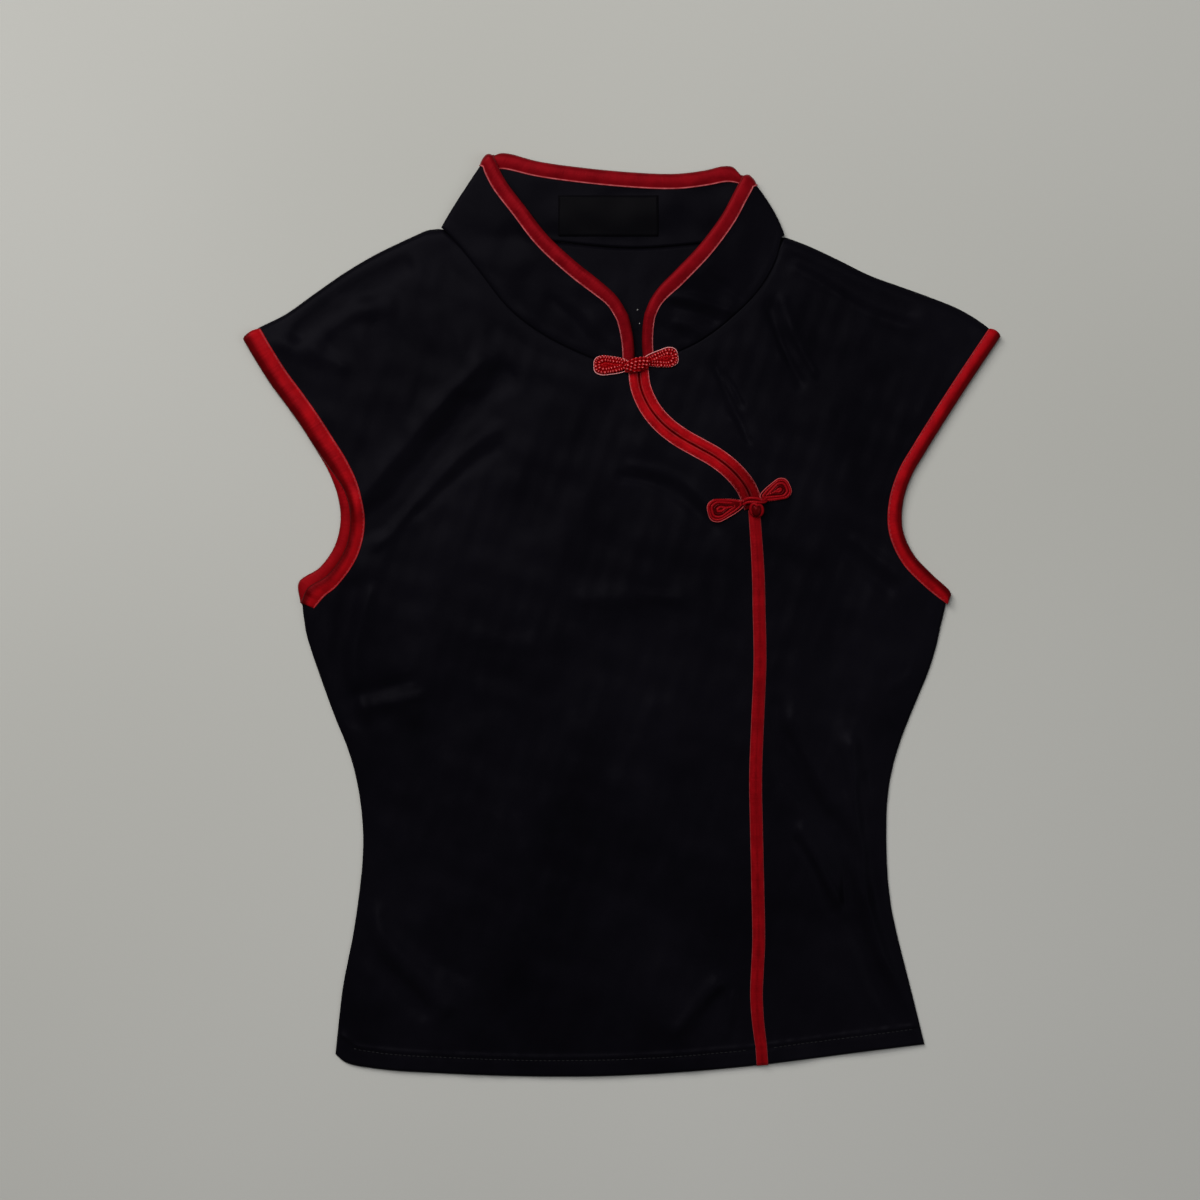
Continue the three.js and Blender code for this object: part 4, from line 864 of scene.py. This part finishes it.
def edge_tape(name, edges, height, under, replaced, seed, look, cap=0.0):
    """Tape on the edge of a panel: `edges` are its outer and inner edge in plan, `height` the cloth's face,
    `under` the tape's lower face from it, `cap` how far its upper end bulges."""
    outer, tip = edges
    s, up = TAPE_PROFILE[:, 0], TAPE_PROFILE[:, 1]
    run = lengths(outer)
    bulge = cap * smooth(run[-1] - 5, run[-1], run)[:, None] * (frames(outer)[-1])[None]

    def across_(values):
        round_ = np.sqrt(np.clip(np.sin(math.pi * np.clip(values, 0, 1)), 0, 1))
        return (outer[:, None] + (tip - outer)[:, None] * values[None, :, None]
                + bulge[:, None] * round_[None, :, None])

    plan = across_(s)
    z = height(plan[..., 0], plan[..., 1]) + up[None] + puckers(run, s, seed)
    top = np.dstack([plan, z])
    back_s = A([0.0, 0.03, 0.5, 0.99])
    below = across_(back_s)
    base = height(below[..., 0], below[..., 1])
    depth = under(base)
    depth[:, 0] = (base[:, 0] + depth[:, 0]) / 2
    rings = np.concatenate([top, np.dstack([below, depth])], 1)
    uv = np.zeros(rings.shape[:2] + (2,))
    uv[..., 0] = run[:, None]
    uv[..., 1] = np.concatenate([s, back_s])[None]
    made = tube(name, rings, look, uv.reshape(-1, 2))
    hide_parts(replaced)


WIDE, NARROW = BIND - WRAP, BIND_OPENING - WRAP  # how far the tapes reach in from the cloth's edge
TAPE_STEPS = 8

# the lower ends of the armhole tapes are cut straight across: the first points of their outer and inner edges
ARM_ENDS = {
    "back_right": ([], [(-196.2, 3.9), (-191.5, 9.6)]),
    "front_right": ([(-204.9, 7.4), (-200.6, 16.6)], [(-196.2, 3.6), (-189.6, 11.2)]),
    "back_left": ([], [(208.6, 6.6), (203.2, 10.6)]),
    "front_left": ([], [(208.9, 6.2), (203.0, 10.4)])}
ONE_FROM, ONE_TO = 72.0, 106.0  # above this the front tape rolls over the back one, and the two read as one


def arm_lines(name, edge, side):
    """Outer and inner edge of the binding of one armhole, from the underarm to the shoulder."""
    rows = edge[ROWS_SIDE:]
    by = np.full(len(rows), WRAP)
    if name == "front_right":
        by = by + (PEEK_TOP - 0.25) * smooth(ONE_FROM, ONE_TO, rows[:, 1])
    lines = offset(rows, side * by), offset(rows, -side * WIDE)
    for line, first in zip(lines, ARM_ENDS[name]):
        line[:len(first)] = A(first).reshape(-1, 2)
    return [cr_points(line, TAPE_STEPS) for line in lines]


def folded_end(x, y):
    """The right front tape: its end is folded back over the tab of the back one."""
    a, b = A([-203.5, 15.8]), A([-196.0, 11.1])
    along_ = (b - a) / np.linalg.norm(b - a)
    d = (x - a[0]) * -along_[1] + (y - a[1]) * along_[0]
    return front_top(x, y) - 0.45 * (1 - smooth(-0.3, 0.3, d)) + 0.3 * np.exp(-(d / 0.5) ** 2)


def back_top(x, y):
    return np.full(np.shape(x), CLOTH)


tape_edges = {}
for name, edge, side, height, under, seed, look, cap in (
    ("back_right", back_r, 1, back_top, np.zeros_like, 51, BAND_TAPE_M, 1.3),
    ("back_left", back_l, -1, back_top, np.zeros_like, 49, BAND_TAPE_M, 1.3),
    ("front_right", front_r, 1, folded_end, lambda base: base - 1.25, 61, ARM_TAPE_M, 2.0),
    ("front_left", front_l, -1, front_top, lambda base: base - 1.25, 59, ARM_TAPE_M, 2.0)):
    tape_edges[name] = arm_lines(name, edge, side)
    edge_tape("binding_" + name, tape_edges[name], height, under, "armhole_binding_" + name, seed, look, cap)
for name, edge, side, seed in (("opening_right", open_r, -1, 69), ("opening_left", open_l, 1, 71)):
    rows = edge[ROWS_STRAIGHT:]
    tape_edges[name] = [cr_points(offset(rows, by), TAPE_STEPS) for by in (side * WRAP, -side * NARROW)]
    edge_tape("binding_" + name, tape_edges[name], front_top, lambda base: base - 1.2,
              name.replace("_", "_binding_"), seed, OPENING_TAPE_M)

# the straight band, flat over both fronts
BAND_PROFILE = A([
    [-1.0, -0.05], [-0.995, 0.2], [-0.93, 0.45], [-0.8, 0.7], [-0.62, 0.93], [-0.42, 1.08], [-0.2, 1.16],
    [0, 1.18], [0.2, 1.16], [0.42, 1.08], [0.62, 0.93], [0.8, 0.7], [0.93, 0.45], [0.995, 0.2], [1.0, -0.05]])
BAND_LOW = 1.2  # the height that its ends run down to
band_line = even(cr_points(straight[:-1], 8), 2 * ROWS_STRAIGHT * FINE)
run = lengths(band_line)
band_dir = frames(band_line)
across = np.stack([-band_dir[:, 1], band_dir[:, 0]], 1)
half = BAND / 2 - 0.4 * smooth(60, 0, run) - 0.35 * smooth(run[-1] - 60, run[-1], run)
plan = band_line[:, None] - across[:, None] * (BAND_PROFILE[:, 0][None] * half[:, None])[..., None]
cloth_z = front_top(plan[..., 0], plan[..., 1]) + hem_relief(plan[..., 0], plan[..., 1]) * 0.6
ends = np.clip(run / 1.4, 0, 1)
round_end = np.sqrt(np.clip(1 - (1 - ends) ** 2, 0.05, 1))[:, None]
z = cloth_z + BAND_PROFILE[:, 1][None] + puckers(run, BAND_PROFILE[:, 0] * 0.5 + 0.5, 80)
z = BAND_LOW + (z - BAND_LOW) * round_end
band_low = np.dstack([plan[:, ::-1], cloth_z[:, ::-1] - 0.9])[:, 1:-1:4]
rings = np.concatenate([np.dstack([plan, z]), band_low], 1)
uv = np.zeros(rings.shape[:2] + (2,))
uv[..., 0] = run[:, None]
uv[..., 1] = np.concatenate([abs(BAND_PROFILE[:, 0]), np.zeros(band_low.shape[1])])[None]
band = tube("opening_band_tape", rings, BAND_TAPE_M, uv.reshape(-1, 2))
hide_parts("opening_band")

# collar binding: U section on the edge of the band
front_halves = []
for part in (mid[:, :CF + 1], mid[:, stations - 1 - CF:]):
    front_halves.append(BVHTree.FromPolygons(part.reshape(-1, 3).tolist(), grid_faces(*part.shape[:2])))


def on_front(p, half_):
    """The point of a front half of the collar above or below p, or None beside it."""
    hit = front_halves[half_].ray_cast(Vector((p[0], p[1], 60)), Vector((0, 0, -1)))
    return None if hit[0] is None else A(hit[0])


rows = mid.shape[0]
path = [(j, 0) for j in range(1, rows)] + [(rows - 1, i) for i in range(1, stations)] + [
    (j, stations - 1) for j in range(rows - 2, 0, -1)]
path_points = A([mid[j, i] for j, i in path])
tangents = frames(path_points)
U_PROFILE = np.vstack([TAPE_PROFILE, TAPE_PROFILE[::-1] * [1, -1]])
side = np.repeat([1, -1], len(TAPE_PROFILE))
s = U_PROFILE[:, 0]
stand_off = abs(U_PROFILE[:, 1])
stand_off[stand_off < 0.06] = 0
sections, collar_run = [], lengths(path_points)
CORNER_FULL = (1.6, 2.6)  # the tape is fuller where it comes over the fold, on the wearer's right and left
CORNER_AT, CORNER_RUN = 16.9, 1.1  # in stations
for n_, (j, i) in enumerate(path):
    p, nrm, t = mid[j, i], normal[j, i], tangents[n_]
    perp = np.cross(t, nrm)
    perp /= np.linalg.norm(perp)
    rule = mid[rows - 3, i] - mid[rows - 1, i]
    rule /= np.linalg.norm(rule)
    want = A([-1.0 if i == 0 else 1.0, 0, 0]) if j < rows - 1 else rule
    if perp @ want < 0:
        perp = -perp
    fold_steps = min(abs(i - CF), abs(stations - 1 - CF - i)) * COLLAR_FRONT / CF
    in_back = CF <= i <= stations - 1 - CF
    w = 1.0 if in_back else 1 - float(smooth(0, 5, fold_steps))
    inward = perp * (1 - w) + rule * w
    inward /= np.linalg.norm(inward)
    start = min(n_, len(path) - 1 - n_) / 4
    if start < 1:
        seam_dir = mid[1, 3 if i == 0 else -4] - mid[1, 0 if i == 0 else -1]
        inward = inward * start + seam_dir / np.linalg.norm(seam_dir) * (1 - start)
        inward /= np.linalg.norm(inward)
    station_ = min(coarse[i], LAST_STATION - coarse[i])
    on_left = coarse[i] >= LAST_STATION / 2
    reach = REACH_EDGE_L if on_left else REACH_EDGE_R
    reach += (REACH_FRONT - reach) * float(smooth(0, 3, station_))
    reach += (REACH_BACK - reach) * float(smooth(8, 14, station_))
    span = reach / max(0.6, float(inward @ perp))
    tip = p + inward * span
    if not in_back:
        flat = A([inward[0], inward[1], 0])
        flat /= np.linalg.norm(flat)
        hit = on_front(p + flat * span, 0 if i <= CF else 1)
        tip = tip if hit is None else hit
    corner = CORNER_FULL[int(on_left)] * math.exp(-((station_ - CORNER_AT) / CORNER_RUN) ** 2)
    outer = p - inward * (WRAP + corner)
    base = outer[None] + (tip - outer)[None] * s[:, None]
    # the cloth's own half thickness fades out past its edge
    half_wall = (COLLAR / 2) * np.clip((s * (reach + WRAP) - 0.2) / 1.2, 0, 1)
    sections.append(base + nrm[None] * (side * (half_wall + stand_off))[:, None])
sections = A(sections)
ripple = puckers(collar_run, U_PROFILE[:, 0], 90)
sections += normal[[j for j, i in path], [i for j, i in path]][:, None] * (ripple * side[None])[..., None]
sections[..., 2] = np.maximum(sections[..., 2], 0)
uv = np.zeros(sections.shape[:2] + (2,))
uv[..., 0] = collar_run[:, None]
uv[..., 1] = U_PROFILE[:, 0][None]
collar_binding = tube("collar_binding_tape", sections, TAPE_M, uv.reshape(-1, 2))
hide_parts("collar_binding")


# ---- frogs ----
def surface_height():
    """Height of what has been made so far, for the cords to lie on."""
    polys, verts = [], []
    for o in bpy.context.scene.objects:
        if o.type != "MESH" or o.hide_render or o.name in frame["nodes"]:
            continue
        base = len(verts)
        verts += [v.co[:] for v in o.data.vertices]
        polys += [[base + i for i in p.vertices] for p in o.data.polygons]
    tree = BVHTree.FromPolygons(verts, polys)

    def height(x, y, spread=1.2):
        best = 0.0
        for dx, dy in ((0, 0), (spread, 0), (-spread, 0), (0, spread), (0, -spread)):
            hit = tree.ray_cast(Vector(((x + dx) / 1000, (y + dy) / 1000, 0.05)), Vector((0, 0, -1)))[0]
            best = max(best, hit[2] * 1000 if hit else 0)
        return best
    return height


ground = surface_height()
BEAD, TWIST, SLOW_TWIST = 1.9, 3.1, 4.6  # length of a bead, and of a turn of the beaded and the plain cord


def cord_tube(name, path_, radius, lobes, depth, pitch, sides=12, bead=0.0):
    """A twisted cord: its section has lobes that turn along it, and it may swell into beads."""
    t = frames(path_)
    up = np.tile(A([0.0, 0, 1]), (len(path_), 1))
    side_ = np.cross(t, up)
    norm = np.linalg.norm(side_, axis=1, keepdims=True)
    side_ = np.where(norm > 0.05, side_ / np.maximum(norm, 1e-6), A([1.0, 0, 0]))
    for n_ in range(1, len(side_)):
        if side_[n_] @ side_[n_ - 1] < 0:
            side_[n_] = -side_[n_]
    other = np.cross(side_, t)
    run_ = lengths(path_)
    theta = np.linspace(0, 2 * math.pi, sides, endpoint=False)
    phase = run_[:, None] * 2 * math.pi / pitch
    r = radius * (1 - depth + depth * np.cos(lobes * (theta[None] - phase)))
    end = np.sqrt(np.clip(np.minimum(run_, run_[-1] - run_) / radius, 0.02, 1))
    # the beads are about BEAD long, and uneven
    swell = np.cos(run_ * 2 * math.pi / BEAD + 0.9 * np.sin(run_ * 0.83) + 0.7 * np.sin(run_ * 0.31))
    r = r * (end * (1 + bead * swell))[:, None]
    rings_ = (path_[:, None] + side_[:, None] * (r * np.cos(theta))[..., None]
              + other[:, None] * (r * np.sin(theta))[..., None])
    uv_ = np.zeros(rings_.shape[:2] + (2,))
    uv_[..., 0] = run_[:, None]
    top_ = np.sin(theta)[None]  # 1 along the top of the cord
    # UV.Y carries the cord's painted light: a painted highlight on the top of each bead or along the top of a
    # plain cord, and painted shade below
    uv_[..., 1] = 0.45 + (0.55 * swell[:, None] * np.clip(top_, 0, 1) ** 2 if bead else 0.4 * top_)
    return tube(name, rings_, CORD_M, uv_.reshape(-1, 2))


def join(name, parts, replaced, look):
    """One piece from several."""
    verts, faces, uvs, base = [], [], [], 0
    for o in parts:
        m = o.data
        verts += [tuple(v.co * 1000) for v in m.vertices]
        faces += [[base + i for i in p.vertices] for p in m.polygons]
        base += len(m.vertices)
        flat_uv = np.zeros((len(m.vertices), 2))
        for loop, value in zip(m.loops, m.uv_layers[0].data):
            flat_uv[loop.vertex_index] = value.uv
        uvs.append(flat_uv)
        bpy.data.objects.remove(o)
    made = as_object(name, A(verts), faces, look, np.vstack(uvs))
    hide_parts(*replaced)
    return made


def pad_point(pad, theta, inset_):
    """A point of a pad's outline, `inset_` inside it: an oval that narrows to its knot end."""
    c, s = math.cos(theta), math.sin(theta)
    c, s = (math.copysign(abs(q) ** pad["corner"], q) for q in (c, s))
    taper = pad["tip"] + (1 - pad["tip"]) * min(1, (c + 1) / 1.5)
    a = max(pad["length"] / 2 - inset_, 0.2)
    b = max(pad["width"] / 2 * taper - inset_, 0.05)
    ca, sa = math.cos(pad["angle"]), math.sin(pad["angle"])
    return pad["x"] + ca * a * c - sa * b * s, pad["y"] + sa * a * c + ca * b * s


PAD_COLUMNS = "name", "x", "y", "length", "width", "angle", "tip", "corner", "cord", "dome", "beads"
PADS = [dict(zip(PAD_COLUMNS, row)) for row in (
    ("frog_upper_loop_pad", -6.2, 158.8, 22.6, 13, 3.14, 0.66, 0.6, 2.15, 0.9, True),
    ("frog_upper_knot_pad", 25.4, 163.2, 22.6, 13.2, 0.17, 0.5, 0.6, 2.15, 0.9, True),
    ("frog_lower_loop_pad", 67, 67.6, 23.8, 15.6, 3.4, 0.4, 0.62, 1.75, 0.6, False),
    ("frog_lower_knot_pad", 98.4, 78.2, 20.8, 14.4, 0.42, 0.42, 0.62, 1.75, 0.6, False))]
for pad in PADS:
    cord, points = pad["cord"], []
    for n_ in range(int(pad["width"] / 2 / cord * 60) + 1):
        turn = n_ / 60
        inset_ = cord * (0.5 + max(0, turn - 0.35))
        if inset_ > pad["width"] / 2 - cord * 0.15:
            break
        x, y = pad_point(pad, math.pi + 2 * math.pi * turn, inset_)
        dome = pad["dome"] * math.sqrt(min(1, inset_ / (pad["width"] / 2)))
        points.append((x, y, ground(x, y) + cord * 0.42 + dome))
    line = A(points)
    line[:, 2] = np.convolve(np.pad(line[:, 2], 4, "edge"), np.ones(9) / 9, "valid")
    line = even(line, int(lengths(line)[-1] / 0.25))
    if pad["beads"]:
        coil = cord_tube("coil", line, cord * 0.56, 2, 0.1, TWIST, bead=0.2)
    else:
        coil = cord_tube("coil", line, cord * 0.56, 3, 0.06, SLOW_TWIST)
    # backing that closes the coil from below
    rim = [pad_point(pad, a, cord * 0.6) for a in np.linspace(0, 2 * math.pi, 28, endpoint=False)]
    low = A([(x, y, ground(x, y) + 0.15) for x, y in rim])
    backing = tube("backing", np.stack([low, low + [0, 0, cord * 0.6]]), CORD_M, np.full((56, 2), 0.5))
    # a thin cord along the outer turn in the cord's lightest tone: a painted highlight on the satin's edge
    rim = [pad_point(pad, a, 0.2) for a in np.linspace(-0.15, 2 * math.pi + 0.15, 90)]
    painted_rim_highlight = cord_tube("edge", A([(x, y, ground(x, y) + cord * 0.55) for x, y in rim]), 0.28, 2, 0.05, 3, 8)
    for value in painted_rim_highlight.data.uv_layers[0].data:
        value.uv[1] = 1.0
    join(pad["name"] + "_cord", [coil, backing, painted_rim_highlight], [pad["name"]], CORD_M if pad["beads"] else DARK_CORD_M)


def ball(x, y, radius, squash_, cord, bights, long_=1.0):
    """A woven button knot: one cord that goes round a ball over and under itself."""
    z0 = ground(x, y, 2.2)
    t = np.linspace(0, 2 * math.pi * 3, 420)
    lat = 0.95 * np.sin(bights * t / 3)
    lon = t + 0.35 * np.sin(2 * bights * t / 3)
    r = radius * (1 - 0.16 + 0.12 * np.cos(2 * bights * t / 3 + 0.8))
    core = np.stack([x + r * np.cos(lat) * np.cos(lon), y + long_ * r * np.cos(lat) * np.sin(lon),
                     z0 + radius * squash_ * 0.95 + r * squash_ * np.sin(lat)], 1)
    woven = cord_tube("woven", core, cord / 2, 3, 0.06, 4, 10)
    theta = np.linspace(0, 2 * math.pi, 20, endpoint=False)
    inner = []
    for p in np.linspace(-1.5, 1.5, 12):
        r = radius * 0.8 * math.cos(p)
        height = np.full(len(theta), z0 + radius * squash_ * (0.95 + 0.8 * math.sin(p)))
        inner.append(np.stack([x + r * np.cos(theta), y + long_ * r * np.sin(theta), height], 1))
    return [woven, tube("centre", A(inner), CORD_M, np.full((len(inner) * len(theta), 2), 0.3))]


def loop(points, radius, lobes, depth, pitch, bead=0.0):
    return cord_tube("loop", even(cr_points(points, 14), 60), radius, lobes, depth, pitch, bead=bead)


# the upper knot: cords that wrap it side by side between the two pads
wraps = []
for x, half_, lift_ in (
    (4.2, 2.9, 8.4), (6.6, 3.6, 9.3), (9.1, 4.1, 9.8), (11.7, 4.0, 9.9), (14.2, 3.6, 9.6), (16.6, 2.9, 8.9)):
    y = 158.9 + 0.2 * (x - 9.6)
    wraps.append(loop([
        (x + 0.2, y + half_, lift_ - 2.2), (x + 0.5, y + half_ * 0.8, lift_ - 0.4), (x, y, lift_),
        (x - 0.5, y - half_ * 0.8, lift_ - 0.5), (x - 0.3, y - half_, lift_ - 2.4)],
        1.2, 2, 0.1, TWIST, 0.22))
join("frog_upper_knot_cord", ball(10, 158.9, 3.9, 0.5, 2.3, 4) + wraps, ["frog_upper_knot"], CORD_M)
# the lower one: a ball, and two cords that pass over the opening above it
passing = [loop(points, radius, 3, 0.06, SLOW_TWIST) for radius, points in (
    (1.15, [(76.8, 71.4, 7.2), (79.4, 73.2, 8.8), (82.6, 73.9, 10), (86.6, 73.6, 10.4), (90.4, 72.6, 9.6),
            (92.8, 73.8, 7.8)]),
    (1.1, [(77.4, 69.6, 7), (80.4, 71.2, 8.6), (83.8, 71.4, 9.8), (87.4, 71.2, 10.2), (91, 71.4, 9),
           (93.2, 72.6, 7.2)]))]
join("frog_lower_knot_cord", ball(86.4, 66.6, 4.1, 0.72, 2.4, 3, 1.35) + passing,
     ["frog_lower_knot"], DARK_CORD_M)


# ---- stitches ----
def stitches(name, line, pitch, length, radius, material_, jitter, seed):
    """Short threads that lie along a line on what has been made so far."""
    rng = np.random.default_rng(seed)
    total = lengths(line)[-1]
    verts, faces = [], []
    ring_s = A([-0.5, -0.38, 0, 0.38, 0.5])
    ring_r = A([0.35, 0.85, 1, 0.85, 0.35])
    theta = np.linspace(0, 2 * math.pi, 6, endpoint=False)
    for s in np.arange(pitch, total - pitch, pitch):
        a, b = at_length(line, A([s - 0.3, s + 0.3]))
        d = (b - a) / np.linalg.norm(b - a)
        turn = rng.normal(0, jitter)
        d = A([d[0] * math.cos(turn) - d[1] * math.sin(turn), d[0] * math.sin(turn) + d[1] * math.cos(turn)])
        c = (a + b) / 2
        z0 = float(surface(c[0], c[1], 0.0))
        base = len(verts)
        for rs, rr in zip(ring_s, ring_r):
            dip = radius * 1.2 * (2 * abs(rs)) ** 3  # its ends go into the cloth
            for th in theta:
                off = radius * rr * math.cos(th)
                verts.append((c[0] + d[0] * rs * length - d[1] * off, c[1] + d[1] * rs * length + d[0] * off,
                              z0 + radius * rr * math.sin(th) - dip))
        faces += grid_faces(5, 6, base, wrap_cols=True)
        faces += [list(range(base, base + 6))[::-1], list(range(base + 24, base + 30))]
    made = as_object(name, A(verts), faces, material_)


surface = surface_height()
PITCH, STITCH, STITCH_IN = 2.9, 2.0, 1.1  # spacing and length of the stitches, and how far in from an edge
hem_stitch = offset(along(HEM_LINE, 160), HEM_STITCH)[2:-2]
for label, on_side in (("right", hem_stitch[:, 0] < 84), ("left", hem_stitch[:, 0] > 95)):
    stitches("hem_stitches_" + label, hem_stitch[on_side], PITCH, 2.5, 0.22, THREAD_M, 0.05, 5)
for label, edges in (("arm_right", "front_right"), ("arm_left", "front_left"),
                     ("opening_right", "opening_right"), ("opening_left", "opening_left")):
    outer, tip = tape_edges[edges]
    back = outer - tip
    line = tip + back * (STITCH_IN / np.linalg.norm(back, axis=1, keepdims=True))
    stitches("stitches_" + label, line, PITCH, STITCH, 0.17, RED_THREAD_M, 0.05, 7)
GROOVE_POINT = 5  # where the tape's profile is lowest between its stitched edge and its crown
path_station = A([i for j, i in path])
for label, on_side in (("right", path_station <= CF), ("left", path_station >= stations - 1 - CF)):
    stitches("stitches_collar_" + label, sections[on_side, GROOVE_POINT, :2], PITCH, STITCH, 0.17,
             RED_THREAD_M, 0.05, 11)

# two short white thread ends on the inside of the back
for n_, (x, y) in enumerate(((10.9, 195.2), (12.2, 186.5))):
    ends_ = A([[x - 1.2, y - 0.9], [x + 1.2, y + 0.9]])
    stitches("white_tack_%d" % n_, ends_, 1.2, 1.2, 0.24, WHITE_THREAD_M, 0.3, 13)

# ---- label ----
LABEL_X, LABEL_Y = (-40, 24), (242, 268)
lx, ly = np.meshgrid(np.linspace(*LABEL_X, 33), np.linspace(*LABEL_Y, 15))
sag = 0.25 * waves(lx, ly, 51, 6, 20, 50)
edge_in = np.minimum.reduce([lx - LABEL_X[0], LABEL_X[1] - lx, ly - LABEL_Y[0], LABEL_Y[1] - ly])
base_z = np.vectorize(lambda a, b: surface(a, b, 0.5))(lx, ly)
lz = base_z + 0.1 + (0.16 + 0.5 * sag) * smooth(0, 5, edge_in)
label_piece = shell("neck_label_tape", np.dstack([lx, ly, lz + 0.25]), np.dstack([lx, ly, lz]), LABEL_M)
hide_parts("neck_label")

# ---- floor, lights, camera ----
FLOOR_SIZE, FLOOR_Z = 8, -0.0003  # metres; just under the cloth, so that the two don't share a plane
bpy.ops.mesh.primitive_plane_add(size=FLOOR_SIZE, location=(0, 0, FLOOR_Z))
floor = bpy.context.object
floor.name = "pale_floor"
floor.data.materials.append(floor_material())


def area_light(name, where, aim, size, power, colour=(1, 1, 1)):
    data = bpy.data.lights.new(name, "AREA")
    data.shape, data.size, data.energy, data.color = "SQUARE", size, power, colour
    lamp = bpy.data.objects.new(name, data)
    lamp.location = where
    lamp.rotation_euler = (Vector(aim) - Vector(where)).to_track_quat("-Z", "Y").to_euler()
    bpy.context.scene.collection.objects.link(lamp)


area_light("soft_box", (-0.45, 0.95, 2.0), (0, 0, 0), 1.3, 28.5, (1, 0.985, 0.965))
area_light("key", (-1.6, 1.9, 1.9), (0, 0, 0), 1.2, 39, (1, 0.985, 0.95))
area_light("fill", (1.9, -0.2, 1.9), (0, 0, 0), 1.6, 9.5, (0.95, 0.97, 1))
world = bpy.data.worlds.new("soft")
world.use_nodes = True
world.node_tree.nodes["Background"].inputs[0].default_value = (0.93, 0.95, 1, 1)
world.node_tree.nodes["Background"].inputs[1].default_value = 0.09
bpy.context.scene.world = world
bpy.context.scene.view_settings.view_transform = "Standard"

VIEW_WIDTH, CAMERA_HEIGHT = 768, 1400  # millimetres: the width of the frame, and the camera above the cloth
CLOTH_HEIGHT = 3  # millimetres: the face of the cloth, where the frame has that width
CAMERA_X, CAMERA_Y = -0.0134, 0.009  # metres: the middle of the frame
SENSOR = 36
camera_data = bpy.data.cameras.new("camera")
camera_data.sensor_width = SENSOR
camera_data.lens = SENSOR * CAMERA_HEIGHT / VIEW_WIDTH
camera = bpy.data.objects.new("camera", camera_data)
camera.location = (CAMERA_X, CAMERA_Y, (CAMERA_HEIGHT + CLOTH_HEIGHT) / 1000)
bpy.context.scene.collection.objects.link(camera)
bpy.context.scene.camera = camera
